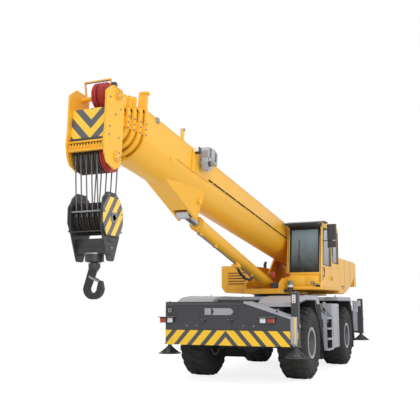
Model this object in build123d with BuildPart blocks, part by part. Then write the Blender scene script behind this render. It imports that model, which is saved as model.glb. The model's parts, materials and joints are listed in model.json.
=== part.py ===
"""Two-axle rough-terrain mobile crane with its telescopic boom resting over the front bumper.

Frame: +X runs forward over the bumper, +Y to the crane's left, +Z up. The ground is z = 0 and the origin
lies under the middle of the crane's overall box.
"""

import os
from math import atan2, cos, degrees, hypot, radians, sin

from build123d import *

os.makedirs("parts", exist_ok=True)

# ---- Driving sizes, mm ----
MID_X = -2512.4  # x of the middle between the axles
WHEELBASE = 4420.0
TRACK = 2600.0
TYRE_R = 890.0
TYRE_W = 735.0
RIM_R = 330.0
KINGPIN_Y = TRACK / 2 - 350.0
CARRIER_HALF = 1580.0
DECK_TOP = 2060.0
DECK_SLAB = 100.0
CHASSIS_HALF = 440.0
CHASSIS_LOW = 1090.0
SLEW_X = MID_X - 450.0
SLEW_Z = 2140.0
RING_R = 760.0
BODY_HALF = 1530.0
SIDE_INNER = 470.0
SIDE_OUTER = 520.0
PIVOT_X = MID_X - 2200.0
PIVOT_Z = 3500.0
BOOM_ANGLE = 6.9
BOOM_HALF = 440.0
BOOM_TOP = 392.0  # above the foot pin
BOOM_BELLY = -523.0
NEST_STEP = 42.0
NEST_LIFT = 55.0
BOOM_WALL = 16.0
BOOM_TAIL = -350.0
BASE_END = 11180.0
COLLAR = 70.0
COLLAR_PITCH = 135.0
GAP = 6.0
FIT = 0.5
SEAT = 0.3
ROPE_R = 11.0
SHEAVE_PITCH_R = 240.0
SHEAVE_LIP = 22.0
SHEAVE_BORE_R = 50.0
NOSE_AXLE_S = 11970.0
NOSE_AXLE_N = 296.0
NOSE_AXLE_R = 40.0
HEAD_AXLE_S = 11880.0
HEAD_AXLE_N = -722.0
FOOT_PIN_X = MID_X + 100.0
FOOT_PIN_Z = 2300.0
ROD_PIN_S = 8466.0
ROD_PIN_N = -793.0
EYE_R = 115.0
EYE_HALF = 140.0
BARREL_R = 150.0
ROD_R = 95.0
HOOK_AXLE_DROP = 1000.0

FRONT_X = MID_X + WHEELBASE / 2
REAR_X = MID_X - WHEELBASE / 2
DECK_LOW = DECK_TOP - DECK_SLAB
WING_REST = DECK_LOW - 60.0  # underside of the front wings' sloping noses

# ---- Planes ----


def at_y(y):
    """Side-view plane at y: local x is +X, local y is +Z, and its normal is -Y."""
    return Plane.XZ.offset(-y)


def at_x(x):
    """Front-view plane at x: local x is +Y, local y is +Z."""
    return Plane.YZ.offset(x)


def at_z(z):
    """Plan plane at height z."""
    return Plane.XY.offset(z)


C7 = cos(radians(BOOM_ANGLE))
S7 = sin(radians(BOOM_ANGLE))


def boom_point(s, n, y=0.0):
    """A point s along the boom and n above the foot pin, square to it."""
    return (PIVOT_X + s * C7 - n * S7, y, PIVOT_Z + s * S7 + n * C7)


def boom_side(y):
    """Side-view plane of the boom at y: local x along the boom, local y across it, normal -Y."""
    return Plane(origin=(PIVOT_X, y, PIVOT_Z), x_dir=(C7, 0, S7), z_dir=(0, -1, 0))


def boom_cross(s, n=0.0):
    """Cross-section plane of the boom at station s: local x is +Y, local y is up across the boom."""
    return Plane(origin=boom_point(s, n), x_dir=(0, 1, 0), z_dir=(C7, 0, S7))


def save(piece, label):
    """Labels a finished piece and writes it as one STEP file."""
    piece.part.label = label
    export_step(piece.part, f"parts/{label}.step")


# ---- Carrier ----

CHASSIS_FRONT = MID_X + 3420.0
CHASSIS_REAR = MID_X - 4330.0
ENGINE_X = MID_X - 3830.0
ENGINE_LENGTH = 860.0
ENGINE_WIDTH = 740.0

with BuildPart() as carrier_frame:
    with BuildSketch(at_y(0)):
        Polygon(
            (CHASSIS_FRONT, CHASSIS_LOW - 120),
            (CHASSIS_FRONT, DECK_LOW),
            (CHASSIS_REAR, DECK_LOW),
            (CHASSIS_REAR, CHASSIS_LOW - 120),
            (REAR_X - 620, CHASSIS_LOW - 120),
            (REAR_X - 480, CHASSIS_LOW),
            (FRONT_X + 480, CHASSIS_LOW),
            (FRONT_X + 620, CHASSIS_LOW - 120),
            align=None,
        )
    extrude(amount=CHASSIS_HALF, both=True)
    # engine bay between the rails
    with BuildSketch(at_z(CHASSIS_LOW - 130)):
        with Locations((ENGINE_X, 0)):
            Rectangle(ENGINE_LENGTH, ENGINE_WIDTH)
    extrude(amount=1100, mode=Mode.SUBTRACT)
    # bearers under the deck's wings, clear of the steered wheels
    for x, top in ((FRONT_X + 840, WING_REST), (REAR_X - 880, DECK_LOW)):
        with BuildSketch(at_x(x)):
            Polygon((-1450, top), (1450, top), (1450, top - 60), (CHASSIS_HALF, top - 200),
                    (-CHASSIS_HALF, top - 200), (-1450, top - 60), align=None)
        extrude(amount=40)
save(carrier_frame, "carrier_frame")

# Each outrigger box has two tunnels side by side: the forward one holds the left beam, the aft one the right.
BOX_LOW = 889.0
BOX_TOP = 1900.0
BOX_LENGTH = 565.0
BEAM_X = 240.0
BEAM_Z = 270.0
TUNNEL_X = BEAM_X + 2 * GAP
TUNNEL_Z = BEAM_Z + 2 * GAP
BEAM_MID_Z = BOX_LOW + 160.0
BOX_FRONT_X = MID_X + 3420.0
BOX_REAR_X = MID_X - 4330.0 - BOX_LENGTH
LANE_AFT = 150.0
LANE_FORE = 415.0

OUTRIGGER_BOXES = (  # rear face x, facing, sides whose upper corner falls away
    (BOX_FRONT_X, 1, (1,)),
    (BOX_REAR_X, -1, (-1, 1)),
)

with BuildPart() as outrigger_boxes:
    for x0, facing, sloped in OUTRIGGER_BOXES:
        nose = x0 + BOX_LENGTH if facing > 0 else x0
        back = x0 if facing > 0 else x0 + BOX_LENGTH
        with BuildSketch(at_y(0)):
            Polygon(
                (nose, BOX_LOW),
                (nose, BOX_TOP - 60),
                (nose - facing * 60, BOX_TOP),
                (back, BOX_TOP),
                (back, BOX_LOW),
                align=None,
            )
        extrude(amount=CARRIER_HALF, both=True)
        with BuildSketch(at_x(x0)):
            for side in sloped:
                Polygon((side * 505, BOX_TOP + 10), (side * (CARRIER_HALF + 10), BOX_TOP + 10),
                        (side * (CARRIER_HALF + 10), 1545), align=None)
        extrude(amount=BOX_LENGTH, mode=Mode.SUBTRACT)
        for lane, side in ((LANE_AFT, -1), (LANE_FORE, 1)):
            with BuildSketch(at_y(0)):
                with Locations((x0 + lane, BEAM_MID_Z)):
                    Rectangle(TUNNEL_X, TUNNEL_Z)
            extrude(amount=CARRIER_HALF, both=True, mode=Mode.SUBTRACT)
            # wear pads under the beam, at its mouth and at its heel
            for pad_y in (side * (CARRIER_HALF - 20), -side * 900):
                with BuildSketch(at_y(pad_y)):
                    with Locations((x0 + lane, BEAM_MID_Z - BEAM_Z / 2 - (GAP + SEAT) / 2)):
                        Rectangle(BEAM_X - 60, GAP - SEAT)
                extrude(amount=side * 120)
save(outrigger_boxes, "outrigger_boxes")

LAMP_LOW = 1412.0
LAMP_TALL = 126.0
LAMP_DEEP = 60.0
LAMP_WIDE = 360.0

# four lamp clusters, each a housing under a brow
with BuildPart() as lamp_housings:
    for face_x, facing in ((BOX_FRONT_X + BOX_LENGTH + SEAT, 1), (BOX_REAR_X - SEAT, -1)):
        for y in (-1530, 1040):
            with BuildSketch(at_z(LAMP_LOW)):
                with Locations((face_x + facing * LAMP_DEEP / 2, y)):
                    Rectangle(LAMP_DEEP, LAMP_WIDE)
            extrude(amount=LAMP_TALL)
            with BuildSketch(at_z(LAMP_LOW + LAMP_TALL)):
                with Locations((face_x + facing * LAMP_DEEP, y)):
                    Rectangle(2 * LAMP_DEEP, LAMP_WIDE + 60)
            extrude(amount=14)
save(lamp_housings, "lamp_housings")

# Deck: a slab on the chassis with the slewing ring's opening, and wings over the wheels that drop as mudguards.
# The front wings reach forward of the slab and slope down to the bumper box.
WING_Y = 1570.0
WING_ROOT_Y = 620.0
SLAB_REAR = MID_X - 4300.0
SLAB_FRONT = MID_X + 1300.0
SLAB_HALF_Y = 1150.0
WING_NOSE = BOX_FRONT_X - SEAT

with BuildPart() as deck_plates:
    with BuildSketch(at_z(DECK_LOW)):
        with Locations(((SLAB_REAR + SLAB_FRONT) / 2, 0)):
            Rectangle(SLAB_FRONT - SLAB_REAR, 2 * SLAB_HALF_Y)
        with Locations((SLEW_X, 0)):
            Circle(RING_R + 20, mode=Mode.SUBTRACT)
    extrude(amount=DECK_SLAB)
    for side in (-1, 1):
        with BuildSketch(at_y(WING_Y if side > 0 else -WING_ROOT_Y)):
            Polygon(
                (WING_NOSE, WING_REST - 15),
                (WING_NOSE - 360, DECK_TOP - 50),
                (MID_X + 2500, DECK_TOP),
                (MID_X + 1260, DECK_TOP),
                (MID_X + 980, 1780),
                (MID_X + 650, 610),
                (MID_X + 690, 610),
                (MID_X + 1560, DECK_LOW),
                (MID_X + 2500, DECK_LOW),
                (FRONT_X + 780, WING_REST),
                (FRONT_X + 940, WING_REST),
                (WING_NOSE, WING_REST - 110),
                align=None,
            )
            Polygon(
                (MID_X - 1250, DECK_TOP),
                (MID_X - 1250, DECK_LOW),
                (MID_X - 3090, DECK_LOW),
                (MID_X - 3750, 660),
                (MID_X - 3790, 660),
                (MID_X - 3300, DECK_TOP),
                align=None,
            )
        extrude(amount=WING_Y - WING_ROOT_Y)
        # panel between the bumper and the front wheel's arch
        with BuildSketch(at_y(WING_Y if side > 0 else -WING_Y + 25)):
            Polygon((WING_NOSE, WING_REST - 109), (WING_NOSE, DECK_LOW - 720), (WING_NOSE - 40, DECK_LOW - 720),
                    (WING_NOSE - 320, WING_REST - 60), (FRONT_X + 820, WING_REST), (FRONT_X + 820, WING_REST + 1),
                    (FRONT_X + 940, WING_REST + 1), align=None)
        extrude(amount=25)
save(deck_plates, "deck_plates")

with BuildPart() as slewing_ring:
    with BuildSketch(at_z(DECK_LOW)):
        with Locations((SLEW_X, 0)):
            Circle(RING_R)
    extrude(amount=SLEW_Z - DECK_LOW)
save(slewing_ring, "slewing_ring")

TANK_REAR = MID_X - 1030.0
TANK_FRONT = MID_X - 60.0
STEP_REAR = TANK_FRONT
STEP_FRONT = MID_X + 590.0

for label, side in (("fuel_tank", 1), ("tool_locker", -1)):
    with BuildPart() as side_box:
        with BuildSketch(at_y(1640 if side > 0 else -CHASSIS_HALF)):
            with Locations(((TANK_REAR + TANK_FRONT) / 2, 1240)):
                Rectangle(TANK_FRONT - TANK_REAR, 1240)
        extrude(amount=1640 - CHASSIS_HALF)
    save(side_box, label)

with BuildPart() as access_ladders:
    for side in (-1, 1):
        for x in (STEP_REAR, STEP_FRONT - 20):
            with BuildSketch(at_x(x)):
                Polygon((side * 1640, 600), (side * 1640, 1500), (side * 1300, 1860), (side * 1240, 1860),
                        (side * 1240, 1780), (side * 1540, 1420), (side * 1540, 600), align=None)
            extrude(amount=20)
        for z, y in ((620, 1590), (900, 1590), (1180, 1590), (1460, 1560)):
            with BuildSketch(at_y(side * y + 100)):
                with Locations(((STEP_REAR + STEP_FRONT) / 2, z)):
                    Rectangle(STEP_FRONT - STEP_REAR - 40 - 2 * SEAT, 40)
            extrude(amount=200)
save(access_ladders, "access_ladders")

with BuildPart() as engine_block:
    with BuildSketch(at_z(CHASSIS_LOW - 60)):
        with Locations((ENGINE_X, 0)):
            Rectangle(ENGINE_LENGTH - 60, ENGINE_WIDTH)
    extrude(amount=DECK_LOW - CHASSIS_LOW)
save(engine_block, "engine_block")

# ---- Axles, knuckles and wheels ----
AXLE_BEAM_END = KINGPIN_Y - 120.0
EAR_INNER = 150.0
EAR_OUTER = 205.0
TRUNNION_R = 45.0
SPINDLE_R = 110.0
SPINDLE_IN = TRACK / 2 - 200.0

with BuildPart() as axles:
    for x in (FRONT_X, REAR_X):
        with BuildSketch(at_y(-AXLE_BEAM_END)):
            with Locations((x, TYRE_R)):
                RectangleRounded(280, 290, 50)
        extrude(amount=-2 * AXLE_BEAM_END)
        with BuildSketch(at_z(TYRE_R)):
            with BuildLine():
                Polyline((x - 250, -120), (x - 140, -420), (x + 140, -420), (x + 250, -120), (x + 250, 120),
                         (x + 140, 420), (x - 140, 420), (x - 250, 120), close=True)
            make_face()
        extrude(amount=CHASSIS_LOW - TYRE_R)
        for side in (-1, 1):
            for low, high in ((EAR_INNER, EAR_OUTER), (-EAR_OUTER, -EAR_INNER)):
                with BuildSketch(at_z(TYRE_R + low)):
                    with Locations((x, side * (KINGPIN_Y - 60))):
                        Rectangle(180, 240)
                    with Locations((x, side * KINGPIN_Y)):
                        Circle(TRUNNION_R + FIT, mode=Mode.SUBTRACT)
                extrude(amount=high - low)
            with BuildSketch(at_y(side * (KINGPIN_Y - 150) + 30)):
                with Locations((x, TYRE_R)):
                    Rectangle(180, 2 * EAR_OUTER)
            extrude(amount=60)
save(axles, "axles")

CORNERS = (  # label, axle x, side
    ("fl", FRONT_X, 1),
    ("fr", FRONT_X, -1),
    ("rl", REAR_X, 1),
    ("rr", REAR_X, -1),
)

for corner, x, side in CORNERS:
    with BuildPart() as knuckle:
        with BuildSketch(at_z(TYRE_R)):
            with Locations((x, side * (KINGPIN_Y + 60))):
                Rectangle(180, 210)
        extrude(amount=EAR_INNER - GAP, both=True)
        with BuildSketch(at_z(TYRE_R)):
            with Locations((x, side * KINGPIN_Y)):
                Circle(TRUNNION_R)
        extrude(amount=EAR_OUTER, both=True)
        with BuildSketch(at_y(side * SPINDLE_IN)):
            with Locations((x, TYRE_R)):
                Circle(SPINDLE_R)
        extrude(amount=-side * (TRACK / 2 + 40 - SPINDLE_IN))
    save(knuckle, f"knuckle_{corner}")

    with BuildPart() as rim:
        with BuildSketch(Plane.YZ.offset(x)):
            with BuildLine():
                Polyline(
                    (side * (TRACK / 2 - 300), TYRE_R + RIM_R),
                    (side * (TRACK / 2 - 300), TYRE_R + RIM_R + 35),
                    (side * (TRACK / 2 - 320), TYRE_R + RIM_R + 35),
                    (side * (TRACK / 2 - 320), TYRE_R + RIM_R - 25),
                    (side * (TRACK / 2 - 40), TYRE_R + RIM_R - 25),
                    (side * (TRACK / 2 - 40), TYRE_R + SPINDLE_R + FIT),
                    (side * (TRACK / 2 + 50), TYRE_R + SPINDLE_R + FIT),
                    (side * (TRACK / 2 + 50), TYRE_R),
                    (side * (TRACK / 2 + 215), TYRE_R),
                    (side * (TRACK / 2 + 215), TYRE_R + 95),
                    (side * (TRACK / 2 + 190), TYRE_R + 130),
                    (side * (TRACK / 2 + 70), TYRE_R + 150),
                    (side * (TRACK / 2 + 60), TYRE_R + 225),
                    (side * (TRACK / 2 + 150), TYRE_R + RIM_R - 50),
                    (side * (TRACK / 2 + 320), TYRE_R + RIM_R - 25),
                    (side * (TRACK / 2 + 320), TYRE_R + RIM_R + 35),
                    (side * (TRACK / 2 + 300), TYRE_R + RIM_R + 35),
                    (side * (TRACK / 2 + 300), TYRE_R + RIM_R),
                    close=True,
                )
            make_face()
        revolve(axis=Axis((x, 0, TYRE_R), (0, 1, 0)))
    save(rim, f"rim_{corner}")

    with BuildPart() as tyre:
        with BuildSketch(Plane.YZ.offset(x)):
            with BuildLine():
                mid = side * TRACK / 2
                half = TYRE_W / 2
                Polyline(
                    (mid - 299, TYRE_R + RIM_R),
                    (mid - 299, TYRE_R + RIM_R + 60),
                    (mid - half, TYRE_R + 620),
                    (mid - half + 25, TYRE_R + 790),
                    (mid - half + 90, 2 * TYRE_R - 20),
                    (mid - 150, 2 * TYRE_R),
                    (mid + 150, 2 * TYRE_R),
                    (mid + half - 90, 2 * TYRE_R - 20),
                    (mid + half - 25, TYRE_R + 790),
                    (mid + half, TYRE_R + 620),
                    (mid + 299, TYRE_R + RIM_R + 60),
                    (mid + 299, TYRE_R + RIM_R),
                    close=True,
                )
            make_face()
        revolve(axis=Axis((x, 0, TYRE_R), (0, 1, 0)))
    save(tyre, f"tyre_{corner}")

# ---- Outriggers ----
POST_Y = 1665.0
POST_HALF = 80.0
POST_LOW = 870.0
POST_TOP = 1900.0
JACK_R = 52.0
FLOAT_R = 280.0
FLOAT_LOW = 640.0
FLOAT_TALL = 150.0

OUTRIGGERS = (  # label, beam centre x, side, post top
    ("fl", BOX_FRONT_X + LANE_FORE, 1, POST_TOP + 200),
    ("fr", BOX_FRONT_X + LANE_AFT, -1, POST_TOP),
    ("rl", BOX_REAR_X + LANE_FORE, 1, POST_TOP + 110),
    ("rr", BOX_REAR_X + LANE_AFT, -1, POST_TOP),
)

for corner, x, side, post_top in OUTRIGGERS:
    with BuildPart() as beam:
        with BuildSketch(at_y(side * (POST_Y - POST_HALF))):
            with Locations((x, BEAM_MID_Z)):
                Rectangle(BEAM_X, BEAM_Z)
        extrude(amount=side * 3040)
        with BuildSketch(at_z(POST_LOW)):
            with Locations((x, side * POST_Y)):
                Rectangle(2 * POST_HALF, 2 * POST_HALF)
        extrude(amount=post_top - POST_LOW)
        with BuildSketch(at_z(POST_LOW)):
            with Locations((x, side * POST_Y)):
                Circle(JACK_R + 1)
        extrude(amount=POST_TOP - POST_LOW - 30, mode=Mode.SUBTRACT)
    save(beam, f"outrigger_beam_{corner}")

    with BuildPart() as jack:
        with BuildSketch(at_x(x)):
            with BuildLine():
                Polyline(
                    (side * POST_Y, FLOAT_LOW),
                    (side * POST_Y + FLOAT_R, FLOAT_LOW),
                    (side * POST_Y + FLOAT_R, FLOAT_LOW + 20),
                    (side * POST_Y + 190, FLOAT_LOW + 34),
                    (side * POST_Y + 80, FLOAT_LOW + FLOAT_TALL),
                    (side * POST_Y + JACK_R, FLOAT_LOW + FLOAT_TALL),
                    (side * POST_Y + JACK_R, POST_TOP - 60),
                    (side * POST_Y, POST_TOP - 60),
                    close=True,
                )
            make_face()
        revolve(axis=Axis((x, side * POST_Y, 0), (0, 0, 1)))
    save(jack, f"outrigger_jack_{corner}")

# ---- Superstructure ----
BASE_LOW = SLEW_Z + SEAT
BASE_TOP = BASE_LOW + 35.0
SILL_TOP = 2278.0
PIN_R = 90.0
FOOT_PIN_R = 55.0

with BuildPart() as turntable_frame:
    with BuildSketch(at_z(BASE_LOW)):
        with Locations((SLEW_X, 0)):
            Circle(RING_R + 60)
    extrude(amount=BASE_TOP - BASE_LOW)
    with BuildSketch(at_z(BASE_LOW)):
        with Locations((MID_X - 1600, 0)):
            Rectangle(5600, 2 * SIDE_OUTER)
    extrude(amount=BASE_TOP - BASE_LOW)
    for y in (SIDE_OUTER, -SIDE_INNER):
        with BuildSketch(at_y(y)):
            Polygon(
                (MID_X + 1200, BASE_TOP),
                (MID_X + 1200, 2420),
                (MID_X + 900, 2560),
                (MID_X - 900, 2760),
                (PIVOT_X + 330, PIVOT_Z + 60),
                (PIVOT_X + 130, PIVOT_Z + 190),
                (PIVOT_X - 130, PIVOT_Z + 190),
                (PIVOT_X - 400, PIVOT_Z + 20),
                (MID_X - 4400, 3200),
                (MID_X - 4400, BASE_TOP),
                align=None,
            )
        extrude(amount=SIDE_OUTER - SIDE_INNER)
    with BuildSketch(at_y(0)):
        with Locations((PIVOT_X, PIVOT_Z)):
            Circle(PIN_R)
    extrude(amount=SIDE_OUTER, both=True)
    with BuildSketch(at_x(MID_X + 1160)):
        with Locations((0, (BASE_TOP + SILL_TOP) / 2)):
            Rectangle(2 * SIDE_OUTER, SILL_TOP - BASE_TOP)
    extrude(amount=40)
    # lugs and pin of the luffing cylinder's foot
    for y in (EYE_HALF + GAP + 80, -EYE_HALF - GAP):
        with BuildSketch(at_y(y)):
            Polygon((FOOT_PIN_X - 260, BASE_TOP), (FOOT_PIN_X - 100, FOOT_PIN_Z + 110),
                    (FOOT_PIN_X + 100, FOOT_PIN_Z + 110), (FOOT_PIN_X + 260, BASE_TOP), align=None)
        extrude(amount=80)
    with BuildSketch(at_y(0)):
        with Locations((FOOT_PIN_X, FOOT_PIN_Z)):
            Circle(FOOT_PIN_R)
    extrude(amount=EYE_HALF + GAP + 80, both=True)
save(turntable_frame, "turntable_frame")

SLAB_FRONT_X = MID_X - 4400.0 - SEAT
SLAB_CORNER_X = MID_X - 4750.0
SLAB_REAR_X = MID_X - 4960.0
SLAB_HALF = 1500.0
SLAB_LOW = 2450.0
SLAB_TALL = 800.0

with BuildPart() as counterweight:
    with BuildSketch(at_z(SLAB_LOW)):
        with BuildLine():
            ThreePointArc((SLAB_CORNER_X, SLAB_HALF), (SLAB_REAR_X, 0), (SLAB_CORNER_X, -SLAB_HALF))
            Polyline((SLAB_CORNER_X, -SLAB_HALF), (SLAB_FRONT_X, -SLAB_HALF), (SLAB_FRONT_X, SLAB_HALF),
                     (SLAB_CORNER_X, SLAB_HALF))
        make_face()
    extrude(amount=SLAB_TALL)
save(counterweight, "counterweight")

CAB_INNER = SIDE_OUTER + SEAT
CAB_OUTER = BODY_HALF
CAB_WALL = 55.0
CAB_LOW = 2250.0
CAB_MID_Y = (CAB_INNER + CAB_OUTER) / 2
PANE = 8.0
SCREEN_LOW = 2735.0
SCREEN_TOP = 4025.0
SCREEN_WIDTH = CAB_OUTER - CAB_INNER - 140.0
HINGE_X = MID_X - 700.0
HINGE_PIN_R = 10.0
HINGE_HALF = 45.0
HINGE_HEIGHTS = (CAB_LOW + 350, CAB_LOW + 1550)
HINGE_OUT = 26.0

CAB_OUTLINE = (
    (MID_X - 1800, CAB_LOW),
    (MID_X - 1800, 4180),
    (MID_X + 250, 4180),
    (MID_X + 330, 4040),
    (MID_X + 560, 2700),
    (MID_X + 590, CAB_LOW),
)
DOORWAY = (
    (HINGE_X, 2330),
    (HINGE_X, 4100),
    (MID_X + 210, 4100),
    (MID_X + 280, 3980),
    (MID_X + 480, 2750),
    (MID_X + 480, 2330),
)
DOOR_WINDOW = (
    (HINGE_X + 80, 2950),
    (HINGE_X + 80, 4020),
    (MID_X + 160, 4020),
    (MID_X + 210, 3950),
    (MID_X + 370, 2950),
)
QUARTER_X = MID_X - 1250.0
QUARTER_Z = 3550.0
QUARTER_WIDTH = 860.0
QUARTER_HEIGHT = 950.0

with BuildPart() as cab_shell:
    with BuildSketch(at_y(CAB_OUTER)):
        Polygon(*CAB_OUTLINE, align=None)
    extrude(amount=CAB_OUTER - CAB_INNER)
    fillet(cab_shell.faces().sort_by(Axis.Y)[-1].edges(), 40)
    with BuildSketch(at_y(CAB_OUTER - CAB_WALL)):
        Polygon(*CAB_OUTLINE, align=None)
        offset(amount=-CAB_WALL, kind=Kind.INTERSECTION, mode=Mode.REPLACE)
    extrude(amount=CAB_OUTER - CAB_INNER - 2 * CAB_WALL, mode=Mode.SUBTRACT)
    # windscreen
    with BuildSketch(at_x(MID_X)):
        with Locations((CAB_MID_Y, (SCREEN_LOW + SCREEN_TOP) / 2)):
            Rectangle(SCREEN_WIDTH, SCREEN_TOP - SCREEN_LOW)
    extrude(amount=900, mode=Mode.SUBTRACT)
    with BuildSketch(at_y(CAB_OUTER + 1)):
        Polygon(*DOORWAY, align=None)
    extrude(amount=CAB_WALL + 2, mode=Mode.SUBTRACT)
    # rear quarter windows, left and right
    with BuildSketch(at_y(CAB_OUTER + 1)):
        with Locations((QUARTER_X, QUARTER_Z)):
            Rectangle(QUARTER_WIDTH, QUARTER_HEIGHT)
    extrude(amount=CAB_OUTER, mode=Mode.SUBTRACT)
    # hinge pins, each between two ears behind the doorway
    for z in HINGE_HEIGHTS:
        for ear_z in (z - HINGE_HALF - GAP - 12, z + HINGE_HALF + GAP):
            with BuildSketch(at_z(ear_z)):
                with Locations((HINGE_X - 25, CAB_OUTER + HINGE_OUT / 2 + 6)):
                    Rectangle(50, HINGE_OUT + 12)
                with Locations((HINGE_X, CAB_OUTER + HINGE_OUT)):
                    Circle(HINGE_PIN_R + 4)
            extrude(amount=12)
        with BuildSketch(at_z(z - HINGE_HALF - GAP - 12)):
            with Locations((HINGE_X, CAB_OUTER + HINGE_OUT)):
                Circle(HINGE_PIN_R)
        extrude(amount=2 * (HINGE_HALF + GAP + 12))
save(cab_shell, "cab_shell")

with BuildPart() as cab_door:
    with BuildSketch(at_y(CAB_OUTER)):
        Polygon(*DOORWAY, align=None)
        offset(amount=-GAP, kind=Kind.INTERSECTION, mode=Mode.REPLACE)
    extrude(amount=CAB_WALL)
    with BuildSketch(at_y(CAB_OUTER)):
        Polygon(*DOOR_WINDOW, align=None)
    extrude(amount=CAB_WALL, mode=Mode.SUBTRACT)
    # hinge straps round the pins
    for z in HINGE_HEIGHTS:
        with BuildSketch(at_z(z - HINGE_HALF)):
            with Locations((HINGE_X + 51, CAB_OUTER + HINGE_OUT / 2)):
                Rectangle(78, HINGE_OUT + 16)
            with Locations((HINGE_X, CAB_OUTER + HINGE_OUT)):
                Circle(HINGE_PIN_R + 9)
                Circle(HINGE_PIN_R + SEAT, mode=Mode.SUBTRACT)
        extrude(amount=2 * HINGE_HALF)
save(cab_door, "cab_door")

with BuildPart() as cab_glazing:
    with BuildSketch(at_y(CAB_MID_Y + SCREEN_WIDTH / 2 - SEAT)):
        Polygon((MID_X + 496, SCREEN_LOW + SEAT), (MID_X + 308, SCREEN_TOP - SEAT),
                (MID_X + 308 - PANE, SCREEN_TOP - SEAT), (MID_X + 496 - PANE, SCREEN_LOW + SEAT), align=None)
    extrude(amount=SCREEN_WIDTH - 2 * SEAT)
    for y in (CAB_OUTER - 20, CAB_INNER + 20 + PANE):
        with BuildSketch(at_y(y)):
            with Locations((QUARTER_X, QUARTER_Z)):
                Rectangle(QUARTER_WIDTH - 2 * SEAT, QUARTER_HEIGHT - 2 * SEAT)
        extrude(amount=PANE)
save(cab_glazing, "cab_glazing")

with BuildPart() as door_glazing:
    with BuildSketch(at_y(CAB_OUTER - 20)):
        Polygon(*DOOR_WINDOW, align=None)
        offset(amount=-SEAT, kind=Kind.INTERSECTION, mode=Mode.REPLACE)
    extrude(amount=PANE)
save(door_glazing, "door_glazing")

with BuildPart() as cab_visor:
    with BuildSketch(at_y(CAB_OUTER + 40)):
        Polygon((MID_X - 250, 4180.0), (MID_X - 250, 4215), (MID_X + 180, 4215), (MID_X + 720, 4120),
                (MID_X + 720, 4085), (MID_X + 250, 4180), align=None)
    extrude(amount=CAB_OUTER + 40 - CAB_INNER)
save(cab_visor, "cab_visor")

MIRROR_X = MID_X + 290.0
MIRROR_REACH = 260.0
MIRROR_Y = CAB_OUTER + MIRROR_REACH
MIRROR_WIDE = 260.0

# two mirrors on a post, carried by arms from the door's front edge
with BuildPart() as door_mirrors:
    with BuildSketch(at_z(3200)):
        with Locations((MIRROR_X, MIRROR_Y)):
            Circle(14)
    extrude(amount=850)
    for x, z in ((MIRROR_X, 3630), (MIRROR_X - 44, 3945)):
        with BuildSketch(at_y(MIRROR_Y - 4)):
            with Locations((x, z)):
                Rectangle(24, 24)
        extrude(amount=MIRROR_Y - 4 - CAB_OUTER - SEAT)
    for z, tall, depth in ((3645, 445, 110), (3436, 180, 90)):
        with BuildSketch(at_z(z)):
            with Locations((MIRROR_X, MIRROR_Y)):
                RectangleRounded(depth, MIRROR_WIDE, 35)
        extrude(amount=tall)
save(door_mirrors, "door_mirrors")

with BuildPart() as operator_seat:
    with BuildSketch(at_y(1280)):
        Polygon((MID_X - 1000, CAB_LOW + CAB_WALL), (MID_X - 1000, 2750), (MID_X - 1150, 3500),
                (MID_X - 1020, 3520), (MID_X - 860, 2900), (MID_X - 450, 2880), (MID_X - 430, 2780),
                (MID_X - 600, 2740), (MID_X - 600, CAB_LOW + CAB_WALL), align=None)
    extrude(amount=500)
save(operator_seat, "operator_seat")

HOUSE_INNER = SIDE_OUTER + SEAT
LOUVRE_PITCH = 78.0

with BuildPart() as louvre_housing:
    with BuildSketch(at_x(MID_X - 2200)):
        Polygon((-HOUSE_INNER, 2180), (-1300, 2180), (-1450, 2350), (-1450, 2960), (-HOUSE_INNER, 2960), align=None)
    extrude(amount=2850)
    front_edges = louvre_housing.faces().sort_by(Axis.X)[-1].edges().sort_by(Axis.Y)[0]
    fillet(front_edges, 70)
    with BuildSketch(at_x(MID_X + 650)):
        for row in range(5):
            with Locations((-950, 2440 + LOUVRE_PITCH * row)):
                Rectangle(540, 34)
    extrude(amount=-50, mode=Mode.SUBTRACT)
save(louvre_housing, "louvre_housing")

with BuildPart() as side_fairing:
    with BuildSketch(at_y(BODY_HALF)):
        Polygon((MID_X - 1830, 2170), (MID_X - 1830, 3290), (MID_X - 4380, 3290), (MID_X - 4380, 2780),
                (MID_X - 3640, 2440), (MID_X - 2850, 2220), (MID_X - 2450, 2170), align=None)
    extrude(amount=BODY_HALF - HOUSE_INNER)
    fillet(side_fairing.faces().sort_by(Axis.Y)[-1].edges(), 45)
save(side_fairing, "side_fairing")

DRUM_R = 180.0
DRUM_FLANGE_R = 260.0

with BuildPart() as winch_drums:
    for x, z in ((MID_X - 4110, 3120), (MID_X - 4110, 2560)):
        with BuildSketch(at_y(0)):
            with Locations((x, z)):
                Circle(DRUM_R)
        extrude(amount=SIDE_INNER, both=True)
        for y in (SIDE_INNER - 20, -SIDE_INNER + 60):
            with BuildSketch(at_y(y)):
                with Locations((x, z)):
                    Circle(DRUM_FLANGE_R)
            extrude(amount=40)
save(winch_drums, "winch_drums")

# ---- Boom ----


def boom_outline(shrink, lift, grow=0.0):
    """Section outline: square-shouldered above and round below, set in by shrink, its belly raised by lift."""
    half = BOOM_HALF - shrink + grow
    top = BOOM_TOP - shrink + grow
    belly = BOOM_BELLY + lift - grow
    with BuildSketch(Plane.XY) as outline:
        with BuildLine():
            Polyline((-half, belly + half), (-half, top), (half, top), (half, belly + half))
            ThreePointArc((half, belly + half), (0, belly), (-half, belly + half))
        make_face()
        fillet(outline.vertices().sort_by(Axis.Y)[-2:], 60)
    return outline.sketch


PAD_WIDE = 220.0
PAD_TALL = 180.0
COLLAR_GROW = 22.0
BRACKET_FRONT_S = 9850.0
BRACKET_REAR_S = 8300.0
BRACKET_TIP_N = -905.0
BRACKET_TIP_HALF = 215.0
BRACKET_ROOT_N = -100.0
EYE_SLOT_HALF = EYE_HALF + 20.0
EYE_SLOT_END = 8720.0
TOWER_N = 714.0
TOWER_OUTER = 440.0

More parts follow.
